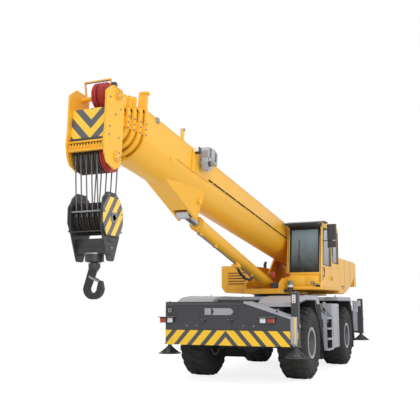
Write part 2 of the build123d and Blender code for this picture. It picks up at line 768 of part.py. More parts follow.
for index in range(5):
    shrink = NEST_STEP * index
    lift = NEST_LIFT * index
    end = BASE_END + COLLAR_PITCH * index
    start = BOOM_TAIL if index == 0 else 560.0 + 120 * index
    hollow_from = start + (900 if index == 0 else 0)
    label = "boom_base" if index == 0 else f"boom_section_{index + 1}"
    with BuildPart() as section:
        with BuildSketch(boom_cross(start)):
            add(boom_outline(shrink, lift))
        extrude(amount=end - start)
        with BuildSketch(boom_cross(end - COLLAR)):
            add(boom_outline(shrink, lift, COLLAR_GROW))
        extrude(amount=COLLAR)
        if index == 0:
            # keel-shaped bracket of the luffing cylinder's rod, with a slot for the rod's eye
            with BuildSketch(boom_cross(BRACKET_REAR_S)):
                Polygon((-BOOM_HALF, BRACKET_ROOT_N), (BOOM_HALF, BRACKET_ROOT_N),
                        (BRACKET_TIP_HALF, BRACKET_TIP_N), (-BRACKET_TIP_HALF, BRACKET_TIP_N), align=None)
            with BuildSketch(boom_cross(BRACKET_FRONT_S)):
                Polygon((-BOOM_HALF, BRACKET_ROOT_N), (BOOM_HALF, BRACKET_ROOT_N),
                        (BRACKET_TIP_HALF, BOOM_BELLY + 60), (-BRACKET_TIP_HALF, BOOM_BELLY + 60), align=None)
            loft()
            with BuildSketch(boom_side(0)):
                Polygon((BRACKET_REAR_S - 1, BOOM_BELLY - 1), (EYE_SLOT_END, BOOM_BELLY - 1),
                        (EYE_SLOT_END, BRACKET_TIP_N - 100), (BRACKET_REAR_S - 1, BRACKET_TIP_N - 100),
                        align=None)
            extrude(amount=EYE_SLOT_HALF, both=True, mode=Mode.SUBTRACT)
            # sensor tower on the front collar
            with BuildSketch(boom_side(TOWER_OUTER)):
                Polygon((end - COLLAR, BOOM_TOP), (end - COLLAR, TOWER_N), (end, TOWER_N), (end, BOOM_TOP),
                        align=None)
            extrude(amount=160)
        else:
            # rope guide lug on the collar
            with BuildSketch(boom_side(TOWER_OUTER - 130 - 20 * index)):
                Polygon((end - COLLAR, BOOM_TOP - shrink), (end - COLLAR, 600 - 30 * index),
                        (end, 600 - 30 * index), (end, BOOM_TOP - shrink), align=None)
            extrude(amount=60)
        with BuildSketch(boom_cross(hollow_from)):
            add(boom_outline(shrink + BOOM_WALL, lift + BOOM_WALL))
        extrude(amount=end - hollow_from, mode=Mode.SUBTRACT)
        if index < 4:
            # wear pads inside the collar, against the next section
            inner_shrink = NEST_STEP * (index + 1)
            inner_lift = NEST_LIFT * (index + 1)
            with BuildSketch(boom_cross(end - COLLAR)):
                add(boom_outline(shrink + BOOM_WALL, lift + BOOM_WALL, FIT))
                with BuildSketch(mode=Mode.INTERSECT):
                    Rectangle(PAD_WIDE, 2000)
                    Rectangle(2000, PAD_TALL)
                add(boom_outline(inner_shrink, inner_lift, SEAT), mode=Mode.SUBTRACT)
            extrude(amount=COLLAR)
        else:
            head_start = end
        if index == 0:
            with BuildSketch(boom_side(0)):
                Circle(180)
            extrude(amount=SIDE_INNER - GAP, both=True)
            with BuildSketch(boom_side(0)):
                Circle(PIN_R + SEAT)
            extrude(amount=SIDE_INNER, both=True, mode=Mode.SUBTRACT)
    save(section, label)

REEL_S = 8738.0
REEL_N = 152.0
REEL_R = 150.0
with BuildPart() as cable_reel:
    with BuildSketch(boom_side(BOOM_HALF + SEAT + 200)):
        Polygon((8330, 230), (8330, 470), (8480, 540), (8800, 500), (8880, 400), (8800, 260), align=None)
    extrude(amount=200)
    with BuildSketch(boom_side(BOOM_HALF + 190)):
        with Locations((REEL_S, REEL_N)):
            Circle(REEL_R)
    extrude(amount=110)
    with BuildSketch(boom_side(BOOM_HALF + SEAT + 200)):
        with Locations((REEL_S, REEL_N + 90)):
            Rectangle(80, 200)
    extrude(amount=200)
save(cable_reel, "cable_reel")

HEAD_HALF = 330.0
HEAD_CHEEK = 30.0
HEAD_OUTLINE = (
    (head_start + SEAT, -300),
    (head_start + SEAT + 40, 340),
    (11860, 420),
    (12150, 400),
    (12313, 246),
    (12262, -358),
    (12266, -604),
    (12216, -769),
    (12130, -899),
    (11900, -955),
    (11720, -860),
)
with BuildPart() as boom_head:
    for y in (HEAD_HALF + HEAD_CHEEK, -HEAD_HALF):
        with BuildSketch(boom_side(y)) as cheek:
            Polygon(*HEAD_OUTLINE, align=None)
            fillet(cheek.vertices(), 30)
        extrude(amount=HEAD_CHEEK)
    # end plate on the inner boom section, and the box between the cheeks
    with BuildSketch(boom_side(0)):
        Polygon((head_start + SEAT, -300), (head_start + SEAT, 205), (head_start + 8, 205),
                (head_start + 8, 40), (12192, 20), (12180, -505), (12150, -505), (12110, -445),
                (11800, -445), (head_start + 8, -300), align=None)
    extrude(amount=HEAD_HALF, both=True)
    # comb plate over the ropes
    with BuildSketch(boom_side(0)):
        Polygon((12196, -610), (12214, -610), (12204, -712), (12186, -712), align=None)
    extrude(amount=HEAD_HALF, both=True)
    for s, n, r in ((NOSE_AXLE_S, NOSE_AXLE_N, NOSE_AXLE_R), (HEAD_AXLE_S, HEAD_AXLE_N, SHEAVE_BORE_R)):
        with BuildSketch(boom_side(0)):
            with Locations((s, n)):
                Circle(r)
        extrude(amount=HEAD_HALF + 2, both=True)
        for y in (HEAD_HALF + HEAD_CHEEK + 25, -HEAD_HALF - HEAD_CHEEK):
            with BuildSketch(boom_side(y)):
                with Locations((s, n)):
                    Circle(r + 40)
            extrude(amount=25)
    # rope roller on two arms from the upper axle
    for y in (255, -240):
        with BuildSketch(boom_side(y)):
            Polygon((NOSE_AXLE_S - 22, NOSE_AXLE_N), (NOSE_AXLE_S + 22, NOSE_AXLE_N), (12072, 562), (12036, 570),
                    align=None)
        extrude(amount=15)
    with BuildSketch(boom_side(0)):
        with Locations((12054, 562)):
            Circle(20)
    extrude(amount=255, both=True)
save(boom_head, "boom_head")

HEAD_SHEAVES = (  # axle s, axle n, y, rim radius, bore radius
    (HEAD_AXLE_S, HEAD_AXLE_N, -250, SHEAVE_PITCH_R + SHEAVE_LIP, SHEAVE_BORE_R),
    (HEAD_AXLE_S, HEAD_AXLE_N, -150, SHEAVE_PITCH_R + SHEAVE_LIP, SHEAVE_BORE_R),
    (HEAD_AXLE_S, HEAD_AXLE_N, -50, SHEAVE_PITCH_R + SHEAVE_LIP, SHEAVE_BORE_R),
    (HEAD_AXLE_S, HEAD_AXLE_N, 50, SHEAVE_PITCH_R + SHEAVE_LIP, SHEAVE_BORE_R),
    (HEAD_AXLE_S, HEAD_AXLE_N, 150, SHEAVE_PITCH_R + SHEAVE_LIP, SHEAVE_BORE_R),
    (HEAD_AXLE_S, HEAD_AXLE_N, 250, SHEAVE_PITCH_R + SHEAVE_LIP, SHEAVE_BORE_R),
    (NOSE_AXLE_S, NOSE_AXLE_N, 30, SHEAVE_PITCH_R, NOSE_AXLE_R),
    (NOSE_AXLE_S, NOSE_AXLE_N, 150, SHEAVE_PITCH_R, NOSE_AXLE_R),
)
with BuildPart() as head_sheaves:
    for s, n, y, rim_r, bore_r in HEAD_SHEAVES:
        axle = boom_point(s, n)
        groove_r = rim_r - SHEAVE_LIP - ROPE_R - SEAT
        with BuildSketch(Plane(origin=(axle[0], y, axle[2]), x_dir=(0, 1, 0), z_dir=(1, 0, 0))):
            Polygon((-35, bore_r + SEAT), (-35, rim_r), (-26, rim_r), (-13, groove_r), (13, groove_r),
                    (26, rim_r), (35, rim_r), (35, bore_r + SEAT), align=None)
        revolve(axis=Axis((axle[0], 0, axle[2]), (0, 1, 0)))
save(head_sheaves, "head_sheaves")

# ---- Luffing cylinder ----
rod_pin = boom_point(ROD_PIN_S, ROD_PIN_N)
LUFF_LENGTH = hypot(rod_pin[0] - FOOT_PIN_X, rod_pin[2] - FOOT_PIN_Z)
LUFF_ANGLE = atan2(rod_pin[2] - FOOT_PIN_Z, rod_pin[0] - FOOT_PIN_X)
ROD_SHOWN = 620.0
BARREL_END = LUFF_LENGTH - ROD_SHOWN


def luff_side(y):
    """Side-view plane along the cylinder, from its foot pin."""
    along = (cos(LUFF_ANGLE), 0, sin(LUFF_ANGLE))
    return Plane(origin=(FOOT_PIN_X, y, FOOT_PIN_Z), x_dir=along, z_dir=(0, -1, 0))


def luff_axis():
    """The cylinder's own axis."""
    return Axis((FOOT_PIN_X, 0, FOOT_PIN_Z), (cos(LUFF_ANGLE), 0, sin(LUFF_ANGLE)))


with BuildPart() as luff_barrel:
    with BuildSketch(luff_side(0)):
        Polygon((300, 0), (300, BARREL_R), (BARREL_END, BARREL_R), (BARREL_END, ROD_R + FIT),
                (420, ROD_R + FIT), (420, 0), align=None)
    revolve(axis=luff_axis())
    with BuildSketch(luff_side(0)):
        Circle(EYE_R)
        with Locations((180, 0)):
            Rectangle(360, 180)
    extrude(amount=EYE_HALF, both=True)
    with BuildSketch(luff_side(0)):
        Circle(FOOT_PIN_R + FIT)
    extrude(amount=EYE_HALF, both=True, mode=Mode.SUBTRACT)
save(luff_barrel, "luff_barrel")

with BuildPart() as luff_rod:
    with BuildSketch(luff_side(0)):
        Polygon((1500, 0), (1500, ROD_R), (LUFF_LENGTH - 80, ROD_R), (LUFF_LENGTH - 80, 0), align=None)
    revolve(axis=luff_axis())
    with BuildSketch(luff_side(0)):
        with Locations((LUFF_LENGTH, 0)):
            Circle(EYE_R)
    extrude(amount=EYE_HALF, both=True)
    with BuildSketch(luff_side(0)):
        with Locations((LUFF_LENGTH, 0)):
            Circle(FOOT_PIN_R)
    extrude(amount=EYE_HALF, both=True, mode=Mode.SUBTRACT)
save(luff_rod, "luff_rod")

# ---- Rope falls, hook block and hook ----
axle = boom_point(HEAD_AXLE_S, HEAD_AXLE_N)
HOOK_X = axle[0]
HOOK_AXLE_Z = axle[2] - HOOK_AXLE_DROP

with BuildPart() as rope_falls:
    for y in (-200, -100, 0, 100, 200):
        for front, shift in ((SHEAVE_PITCH_R, -50), (-SHEAVE_PITCH_R, 50)):
            low = Vector(HOOK_X + front, y, HOOK_AXLE_Z)
            high = Vector(HOOK_X + front, y + shift, axle[2])
            run = high - low
            with BuildSketch(Plane(origin=low, z_dir=run.normalized())):
                Circle(ROPE_R)
            extrude(amount=run.length)
save(rope_falls, "rope_falls")

with BuildPart() as block_sheaves:
    for y in (-200, -100, 0, 100, 200):
        rim_r = SHEAVE_PITCH_R + SHEAVE_LIP
        groove_r = SHEAVE_PITCH_R - ROPE_R - SEAT
        with BuildSketch(Plane(origin=(HOOK_X, y, HOOK_AXLE_Z), x_dir=(0, 1, 0), z_dir=(1, 0, 0))):
            Polygon((-35, SHEAVE_BORE_R + SEAT), (-35, rim_r), (-26, rim_r), (-13, groove_r), (13, groove_r),
                    (26, rim_r), (35, rim_r), (35, SHEAVE_BORE_R + SEAT), align=None)
        revolve(axis=Axis((HOOK_X, 0, HOOK_AXLE_Z), (0, 1, 0)))
save(block_sheaves, "block_sheaves")

# half outlines of the block's plates about its axle: x, height
FRAME_PLATE = ((-85, -690), (-235, -320), (-290, -150), (-290, 100), (-250, 300), (-120, 410))
STRIPE_PLATE = ((-200, -300), (-310, -90), (-310, 160), (-170, 340))
BLOCK_HALF = 300.0

with BuildPart() as hook_block:
    for outline, inner, outer in (
        (FRAME_PLATE, BLOCK_HALF - 30, BLOCK_HALF),
        (STRIPE_PLATE, BLOCK_HALF, BLOCK_HALF + 25),
    ):
        ring = [(HOOK_X + x, HOOK_AXLE_Z + z) for x, z in outline]
        ring += [(HOOK_X - x, HOOK_AXLE_Z + z) for x, z in reversed(outline)]
        for y in (outer, -inner):
            with BuildSketch(at_y(y)) as plate:
                Polygon(*ring, align=None)
                fillet(plate.vertices(), 50)
            extrude(amount=outer - inner)
    with BuildSketch(at_y(0)):
        with Locations((HOOK_X, HOOK_AXLE_Z)):
            Circle(SHEAVE_BORE_R)
    extrude(amount=BLOCK_HALF + 50, both=True)
    # trunnion, swivel housing and rope guards
    with BuildSketch(at_y(0)):
        with Locations((HOOK_X, HOOK_AXLE_Z - 480)):
            Rectangle(220, 180)
    extrude(amount=BLOCK_HALF, both=True)
    with BuildSketch(at_z(HOOK_AXLE_Z - 560)):
        with Locations((HOOK_X, 0)):
            Circle(150)
    extrude(amount=-130)
    with BuildSketch(at_y(0)):
        for x, z in ((-278, 85), (278, 85), (-262, -230), (262, -230)):
            with Locations((HOOK_X + x, HOOK_AXLE_Z + z)):
                Circle(10)
    extrude(amount=BLOCK_HALF, both=True)
    with BuildSketch(at_z(HOOK_AXLE_Z - 700)):
        with Locations((HOOK_X, 0)):
            Circle(60 + SEAT)
    extrude(amount=310, mode=Mode.SUBTRACT)
save(hook_block, "hook_block")

SHANK_R = 60.0
SHANK_END = HOOK_AXLE_Z - 810.0
BEND_Z = HOOK_AXLE_Z - 1110.0
HOOK_OUTER_R = 175.0
HOOK_THROAT_R = 78.0
HOOK_THICK = 90.0

with BuildPart() as crane_hook:
    with BuildSketch(at_z(HOOK_AXLE_Z - 400)):
        with Locations((HOOK_X, 0)):
            Circle(SHANK_R)
    extrude(amount=SHANK_END - HOOK_AXLE_Z + 400)
    with BuildSketch(at_x(HOOK_X - HOOK_THICK / 2)):
        with BuildLine():
            Line((-70, SHANK_END + 40), (-HOOK_OUTER_R, BEND_Z))
            ThreePointArc((-HOOK_OUTER_R, BEND_Z), (0, BEND_Z - HOOK_OUTER_R), (HOOK_OUTER_R, BEND_Z))
            Line((HOOK_OUTER_R, BEND_Z), (145, BEND_Z + 115))
            Line((145, BEND_Z + 115), (100, BEND_Z + 95))
            Line((100, BEND_Z + 95), (HOOK_THROAT_R, BEND_Z))
            ThreePointArc((HOOK_THROAT_R, BEND_Z), (0, BEND_Z - HOOK_THROAT_R), (-HOOK_THROAT_R, BEND_Z))
            Line((-HOOK_THROAT_R, BEND_Z), (60, SHANK_END + 40))
            Line((60, SHANK_END + 40), (-70, SHANK_END + 40))
        make_face()
    extrude(amount=HOOK_THICK)
save(crane_hook, "crane_hook")
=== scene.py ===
"""Finish and small fittings for a two-axle mobile crane whose solids come from its CAD frame."""

import json
import math

import bmesh
import bpy
from mathutils import Matrix, Vector


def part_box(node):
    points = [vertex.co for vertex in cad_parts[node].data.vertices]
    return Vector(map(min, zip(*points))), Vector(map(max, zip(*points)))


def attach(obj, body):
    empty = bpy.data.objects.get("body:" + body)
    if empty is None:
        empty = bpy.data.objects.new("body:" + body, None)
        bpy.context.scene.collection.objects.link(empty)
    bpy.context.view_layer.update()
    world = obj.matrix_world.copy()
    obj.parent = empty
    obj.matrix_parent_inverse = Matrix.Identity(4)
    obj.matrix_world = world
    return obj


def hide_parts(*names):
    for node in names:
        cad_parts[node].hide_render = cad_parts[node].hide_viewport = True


bl_info = {
    "name": "Mobile Crane Dressing",
    "version": (1, 0, 0),
    "blender": (4, 5, 0),
    "location": "3D Viewport > Sidebar > Crane",
    "description": "Paints a mobile crane's solids and adds its trim, lamps, tread, pipes and cab fittings",
    "category": "Object",
}

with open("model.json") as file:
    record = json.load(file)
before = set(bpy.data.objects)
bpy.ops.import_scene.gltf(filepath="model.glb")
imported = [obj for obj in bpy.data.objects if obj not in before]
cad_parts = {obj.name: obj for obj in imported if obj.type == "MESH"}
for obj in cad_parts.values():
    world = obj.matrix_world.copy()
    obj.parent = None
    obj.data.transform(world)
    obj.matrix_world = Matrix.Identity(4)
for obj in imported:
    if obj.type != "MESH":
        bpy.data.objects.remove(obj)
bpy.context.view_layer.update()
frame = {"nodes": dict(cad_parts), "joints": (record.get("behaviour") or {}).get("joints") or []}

JOINTS = {joint["name"]: joint for joint in frame["joints"]}


def low(node):
    """Lowest corner of a CAD node."""
    return Vector(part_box(node)[0])


def high(node):
    """Highest corner of a CAD node."""
    return Vector(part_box(node)[1])


def middle(node):
    """Centre of a CAD node's box."""
    return (low(node) + high(node)) / 2


# ---- Places read from the frame, in metres ----
MID_X = (middle("tyre_fl").x + middle("tyre_rl").x) / 2
NOSE_X = high("outrigger_boxes").x
TAIL_X = low("outrigger_boxes").x
BUMPER_LOW = low("outrigger_boxes").z
CARRIER_HALF = high("outrigger_boxes").y
WING_Y = high("deck_plates").y
TYRE_R = (high("tyre_fl").z - low("tyre_fl").z) / 2
LUFF_PIVOT = Vector(JOINTS["boom_luff"]["pos_m"])
BOOM_DIR = Vector(JOINTS["section_2_extend"]["axis"]).normalized()
BOOM_UP = Vector((-BOOM_DIR.z, 0, BOOM_DIR.x))
ROD_DIR = Vector(JOINTS["cylinder_extend"]["axis"]).normalized()
ROD_UP = Vector((-ROD_DIR.z, 0, ROD_DIR.x))
ROD_FOOT = Vector(JOINTS["cylinder_swing"]["pos_m"])
HEAD_AXLE = Vector(JOINTS["falls_swing"]["pos_m"])
CORNERS = ("fl", "fr", "rl", "rr")

# ---- Places measured with at(), boom() or barrel(), in metres ----
FRONT_FACE, REAR_FACE = 3.985, -4.895  # the two bumper boxes
BOX_FACES = ((FRONT_FACE, 1), (REAR_FACE, -1))  # each with the way that it looks
AXLE_X, AXLE_Z = 2.21, 0.89
BEAM_Y = 1.665  # the outriggers' posts
DOOR_FACE = 1.53  # the cab's left side
BOOM_SIDE = 0.44  # half the base section's width
CAMERA_PLACE = (18.619, 5.748, 1.834)
CAMERA_ANGLES = (22.76, 8.241, -0.133)  # yaw, pitch and roll in degrees
CAMERA_LENS = 56.23  # in millimetres, on a sensor 36 wide

ACROSS = Vector((0, 1, 0))
BOOM_TURN = Matrix((BOOM_DIR, ACROSS, BOOM_UP)).transposed()  # lays a block's X axis along the boom
BARREL_TURN = Matrix((ROD_DIR, ACROSS, ROD_UP)).transposed()  # and along the luffing cylinder


def boom(s, n, y=0.0):
    """The point s along the boom from its foot pin and n above it."""
    return LUFF_PIVOT + BOOM_DIR * s + BOOM_UP * n + Vector((0, y, 0))


def at(x, y, z):
    """A point measured along the crane from the middle between its axles."""
    return Vector((MID_X + x, y, z))


def barrel(s, n, y=0.0):
    """The point s along the luffing cylinder from its foot and n above its axis."""
    return ROD_FOOT + ROD_DIR * s + ROD_UP * n + Vector((0, y, 0))


# ---- Sizes and colours that a user may change ----


def colour_property(name, description, default):
    """A colour with alpha that the panel shows."""
    return bpy.props.FloatVectorProperty(
        name=name, description=description, subtype="COLOR", size=4, min=0.0, max=1.0, default=default
    )


def length_property(name, description, default):
    """A length in metres that the panel shows."""
    return bpy.props.FloatProperty(name=name, description=description, default=default, min=0.0, unit="LENGTH")


class CranePaint(bpy.types.PropertyGroup):
    yellow: colour_property("Crane yellow", "Paint of the boom, cab and bodywork", (0.86, 0.43, 0.006, 1))
    charcoal: colour_property(
        "Chassis charcoal", "Paint of the bumper boxes and chassis", (0.026, 0.028, 0.034, 1)
    )
    deck: colour_property("Deck grey", "Paint of the deck, ladders and tank", (0.34, 0.35, 0.40, 1))
    rim: colour_property("Rim grey", "Paint of the wheel rims", (0.075, 0.078, 0.088, 1))
    rubber: colour_property("Rubber", "Tyres, flaps and seals", (0.008, 0.008, 0.009, 1))
    black: colour_property("Black", "Visor, mirrors, hook block and mouldings", (0.008, 0.008, 0.010, 1))
    red: colour_property("Signal red", "Upper sheaves and warning lamps", (0.45, 0.015, 0.012, 1))
    stripe: colour_property("Stripe yellow", "Yellow bands of the warning stripes", (0.92, 0.55, 0.004, 1))
    band: colour_property("Stripe grey", "Dark bands of the warning stripes", (0.048, 0.050, 0.060, 1))
    steel: colour_property("Bare steel", "Jacks, pins and fittings", (0.42, 0.43, 0.45, 1))
    cast: colour_property("Cast iron", "Sheaves of the hook block", (0.045, 0.035, 0.028, 1))
    dust: colour_property("Dust", "Dust that settles on flat and low surfaces", (0.30, 0.26, 0.20, 1))


class CraneSizes(bpy.types.PropertyGroup):
    stripe_pitch: length_property("Stripe pitch", "Distance from one bumper stripe to the next, across", 0.35)
    lug_depth: length_property("Tread depth", "Height of the tyre's tread blocks", 0.028)
    lip: length_property("Lip", "Thickness of the rubber lips on the mudguards", 0.03)
    seam: length_property("Panel seam", "Width of the seams between body panels", 0.008)
    pipe: length_property("Hydraulic pipe", "Diameter of the steel oil pipes", 0.038)


# ---- Shader groups shared by several materials ----


def put(tree, kind, inputs=None, **settings):
    """Adds a shader node with its settings and the values of its sockets."""
    made = tree.nodes.new(kind)
    for key, value in settings.items():
        setattr(made, key, value)
    for key, value in (inputs or {}).items():
        made.inputs[key].default_value = value
    return made


def math_node(tree, operation, first, second=None, clamp=False):
    """A Math node whose arguments are sockets or numbers."""
    made = put(tree, "ShaderNodeMath", operation=operation, use_clamp=clamp)
    for slot, value in enumerate((first, second)):
        if value is None:
            continue
        if isinstance(value, (int, float)):
            made.inputs[slot].default_value = value
        else:
            tree.links.new(value, made.inputs[slot])
    return made.outputs[0]


def times(tree, first, second, clamp=False):
    """The product of two sockets or numbers."""
    return math_node(tree, "MULTIPLY", first, second, clamp)


def plus(tree, first, second):
    """The sum of two sockets or numbers."""
    return math_node(tree, "ADD", first, second)


def mix_colour(tree, factor, first, second):
    """A colour Mix node whose arguments are sockets or values."""
    made = put(tree, "ShaderNodeMix", data_type="RGBA")
    for slot, value in ((0, factor), (6, first), (7, second)):
        if isinstance(value, bpy.types.NodeSocket):
            tree.links.new(value, made.inputs[slot])
        else:
            made.inputs[slot].default_value = value
    return made.outputs[2]


def new_group(name, inputs, outputs):
    """An empty shader group with named sockets: (name, type, default) in, (name, type) out."""
    tree = bpy.data.node_groups.new(name, "ShaderNodeTree")
    for label, kind, default in inputs:
        socket = tree.interface.new_socket(label, in_out="INPUT", socket_type=kind)
        socket.default_value = default
    for label, kind in outputs:
        tree.interface.new_socket(label, in_out="OUTPUT", socket_type=kind)
    return tree, tree.nodes.new("NodeGroupInput").outputs, tree.nodes.new("NodeGroupOutput").inputs


def object_place(tree):
    """The socket that gives Object coordinates."""
    return put(tree, "ShaderNodeTexCoord").outputs["Object"]


def object_axis(tree, axis, centre=0.0):
    """One Object coordinate, less the place that it is measured from."""
    split = put(tree, "ShaderNodeSeparateXYZ")
    tree.links.new(object_place(tree), split.inputs[0])
    return math_node(tree, "SUBTRACT", split.outputs["XYZ".index(axis)], centre)


def object_noise(tree, scale, detail, stretch=(1, 1, 1)):
    """Noise on Object coordinates, stretched along the object's axes."""
    turn = put(tree, "ShaderNodeMapping", {"Scale": stretch})
    noise = put(tree, "ShaderNodeTexNoise", {"Scale": scale, "Detail": detail, "Roughness": 0.55})
    tree.links.new(object_place(tree), turn.inputs[0])
    tree.links.new(turn.outputs[0], noise.inputs["Vector"])
    return noise.outputs[0]


def build_weather_group():
    """Fading, rain streaks and settled dust over a paint colour."""
    tree, given, result = new_group(
        "Weathering",
        (
            ("Paint", "NodeSocketColor", (0.5, 0.5, 0.5, 1)),
            ("Dust Colour", "NodeSocketColor", (0.3, 0.26, 0.2, 1)),
            ("Dust", "NodeSocketFloat", 0.3),
            ("Fade", "NodeSocketFloat", 0.15),
            ("Roughness", "NodeSocketFloat", 0.35),
        ),
        (("Colour", "NodeSocketColor"), ("Roughness", "NodeSocketFloat"), ("Height", "NodeSocketFloat")),
    )
    patches = object_noise(tree, 0.9, 5.0)
    streaks = object_noise(tree, 7.0, 4.0, (1.6, 1.6, 0.12))
    specks = object_noise(tree, 95.0, 2.0)
    faded = mix_colour(tree, times(tree, patches, given["Fade"]), given["Paint"], (0.9, 0.86, 0.8, 1))
    dull = times(tree, math_node(tree, "SUBTRACT", streaks, 0.5, True), given["Fade"])
    streaked = mix_colour(tree, times(tree, dull, 2.2, True), faded, (0.06, 0.05, 0.04, 1))
    normal = put(tree, "ShaderNodeNewGeometry")
    split = put(tree, "ShaderNodeSeparateXYZ")
    tree.links.new(normal.outputs["Normal"], split.inputs[0])
    upward = times(tree, math_node(tree, "MAXIMUM", split.outputs[2], 0.0), 0.55)
    height = object_axis(tree, "Z")
    lowness = times(tree, math_node(tree, "SUBTRACT", 1.5, height, True), 0.7)
    settled = plus(tree, upward, lowness)
    broken = times(tree, settled, plus(tree, patches, 0.25))
    dust = times(tree, broken, given["Dust"], True)
    tree.links.new(mix_colour(tree, dust, streaked, given["Dust Colour"]), result["Colour"])
    rough = plus(tree, given["Roughness"], times(tree, dust, 0.5))
    tree.links.new(plus(tree, rough, times(tree, patches, 0.08)), result["Roughness"])
    tree.links.new(specks, result["Height"])
    return tree


def build_stripe_group():
    """A mask of slanted warning bands, mirrored about a middle line."""
    tree, given, result = new_group(
        "Warning Bands",
        (
            ("Across", "NodeSocketFloat", 0.0),
            ("Up", "NodeSocketFloat", 0.0),
            ("Pitch", "NodeSocketFloat", 0.4),
            ("Slope", "NodeSocketFloat", 1.0),
            ("Share", "NodeSocketFloat", 0.5),
        ),
        (("Mask", "NodeSocketFloat"),),
    )
    run = plus(tree, given["Across"], times(tree, given["Up"], given["Slope"]))
    turn = math_node(tree, "FRACT", math_node(tree, "DIVIDE", run, given["Pitch"]))
    tree.links.new(math_node(tree, "LESS_THAN", turn, given["Share"]), result["Mask"])
    return tree


GROUPS = {}


def use_group(tree, name, values, wires=None):
    """Places a shared group in a material with its own values and incoming sockets."""
    made = put(tree, "ShaderNodeGroup", node_tree=GROUPS[name])
    for key, value in values.items():
        made.inputs[key].default_value = value
    for key, socket in (wires or {}).items():
        tree.links.new(socket, made.inputs[key])
    return made.outputs


# ---- Materials ----


def start_material(name, **principled):
    """A material with its Principled shader, whose plain values are set on the shader itself."""
    material = bpy.data.materials.new(name)
    material.use_nodes = True
    shader = material.node_tree.nodes["Principled BSDF"]
    for key, value in principled.items():
        shader.inputs[key.replace("_", " ")].default_value = value
    return material, material.node_tree, shader


def wire(tree, shader, colour, roughness, height, strength, distance):
    """Links a colour, a roughness where there is one, and a bump to the Principled shader."""
    tree.links.new(colour, shader.inputs["Base Color"])
    if roughness:
        tree.links.new(roughness, shader.inputs["Roughness"])
    add_bump(tree, shader, height, strength, distance)


def add_bump(tree, shader, height, strength, distance):
    """Raises the shader's surface by a height socket."""
    bump = put(tree, "ShaderNodeBump", {"Strength": strength, "Distance": distance})
    tree.links.new(height, bump.inputs["Height"])
    tree.links.new(bump.outputs[0], shader.inputs["Normal"])


def painted(name, paint, roughness, dust, fade=0.12, coat=0.25, paint_socket=None):
    """Weathered paint over steel. paint_socket may be a function that draws the paint's colour pattern."""
    material, tree, shader = start_material(name, Coat_Weight=coat, Coat_Roughness=0.12)
    wires = {"Paint": paint_socket(tree)} if paint_socket else {}
    values = {"Dust": dust, "Fade": fade, "Roughness": roughness, "Dust Colour": tuple(paints().dust)}
    if not paint_socket:
        values["Paint"] = tuple(paint)
    aged = use_group(tree, "Weathering", values, wires)
    wire(tree, shader, aged["Colour"], aged["Roughness"], aged["Height"], 0.05, 0.002)
    return material


def banded(across, up, pitch, slope, share, mirrored=False, phase=0.0):
    """Colour pattern of warning bands, for painted(): across and up are (axis, centre)."""

    def draw(tree):
        side = object_axis(tree, *across)
        if mirrored:
            side = math_node(tree, "ABSOLUTE", side)
        side = plus(tree, side, phase)
        mask = use_group(
            tree, "Warning Bands", {"Pitch": pitch, "Slope": slope, "Share": share},
            {"Across": side, "Up": object_axis(tree, *up)},
        )["Mask"]
        return mix_colour(tree, mask, tuple(paints().band), tuple(paints().stripe))

    return draw


def paints():
    """The colours in the panel."""
    return bpy.context.scene.crane_paint


def sizes():
    """The sizes in the panel."""
    return bpy.context.scene.crane_sizes


def make_rubber(name, colour, dust, grain=0.35):
    """Rubber with a fine grain and dust in it."""
    material, tree, shader = start_material(name, Specular_IOR_Level=0.3)
    dark_dust = (0.085, 0.075, 0.062, 1)
    values = {"Paint": tuple(colour), "Dust": dust, "Fade": 0.04, "Roughness": 0.72, "Dust Colour": dark_dust}
    aged = use_group(tree, "Weathering", values)
    wire(tree, shader, aged["Colour"], aged["Roughness"], object_noise(tree, 60.0, 6.0), grain, 0.003)
    return material


def make_metal(name, colour, roughness, grain=(1, 1, 1), scale=40.0, strength=0.12, metallic=1.0):
    """Bare metal whose brush marks or casting skin follow a stretched noise."""
    material, tree, shader = start_material(name, Metallic=metallic)
    marks = object_noise(tree, scale, 5.0, grain)
    tone = mix_colour(tree, times(tree, marks, 0.5), tuple(colour), (0.05, 0.045, 0.04, 1))
    rough = plus(tree, times(tree, marks, 0.25), roughness)
    wire(tree, shader, tone, rough, marks, strength, 0.002)
    return material


def make_sheave_material():
    """Signal red on the upper sheaves and the outermost lower one, brown cast iron on the rest."""
    material, tree, shader = start_material("sheave_finish")
    upper = math_node(tree, "GREATER_THAN", object_axis(tree, "Z", HEAD_AXLE.z + 0.35), 0.0)
    outer = math_node(tree, "GREATER_THAN", object_axis(tree, "Y", 0.2), 0.0)
    red = math_node(tree, "MAXIMUM", upper, outer)
    cast = object_noise(tree, 30.0, 6.0)
    tone = mix_colour(tree, red, tuple(paints().cast), tuple(paints().red))
    tone = mix_colour(tree, times(tree, cast, 0.35), tone, (0.2, 0.16, 0.12, 1))
    rough = plus(tree, times(tree, cast, 0.3), 0.3)
    wire(tree, shader, tone, rough, cast, 0.2, 0.002)
    return material


def make_glass(name, low_tint, painted_sky_reflection, bottom, top):
    """Tinted window glass whose colour is a painted reflection of the sky: a dark tint at its sill rising to a
    pale tint at its head, in patches, with a faint film of dust.
    """
    material, tree, shader = start_material(
        name, Transmission_Weight=0.22, IOR=1.45, Specular_IOR_Level=0.4, Coat_Weight=0.1
    )
    # painted reflection of the sky: the glass's colour runs from the dark tint at its sill to the pale blue
    # tint at its head, in patches
    rise = math_node(tree, "DIVIDE", object_axis(tree, "Z", bottom), top - bottom, True)
    clouds = object_noise(tree, 2.2, 5.0, (1, 1, 0.6))
    patchy = plus(tree, times(tree, clouds, 0.7), 0.55)
    share = times(tree, rise, patchy, True)
    tree.links.new(mix_colour(tree, share, low_tint, painted_sky_reflection), shader.inputs["Base Color"])
    tree.links.new(times(tree, object_noise(tree, 2.5, 5.0), 0.06), shader.inputs["Roughness"])
    return material


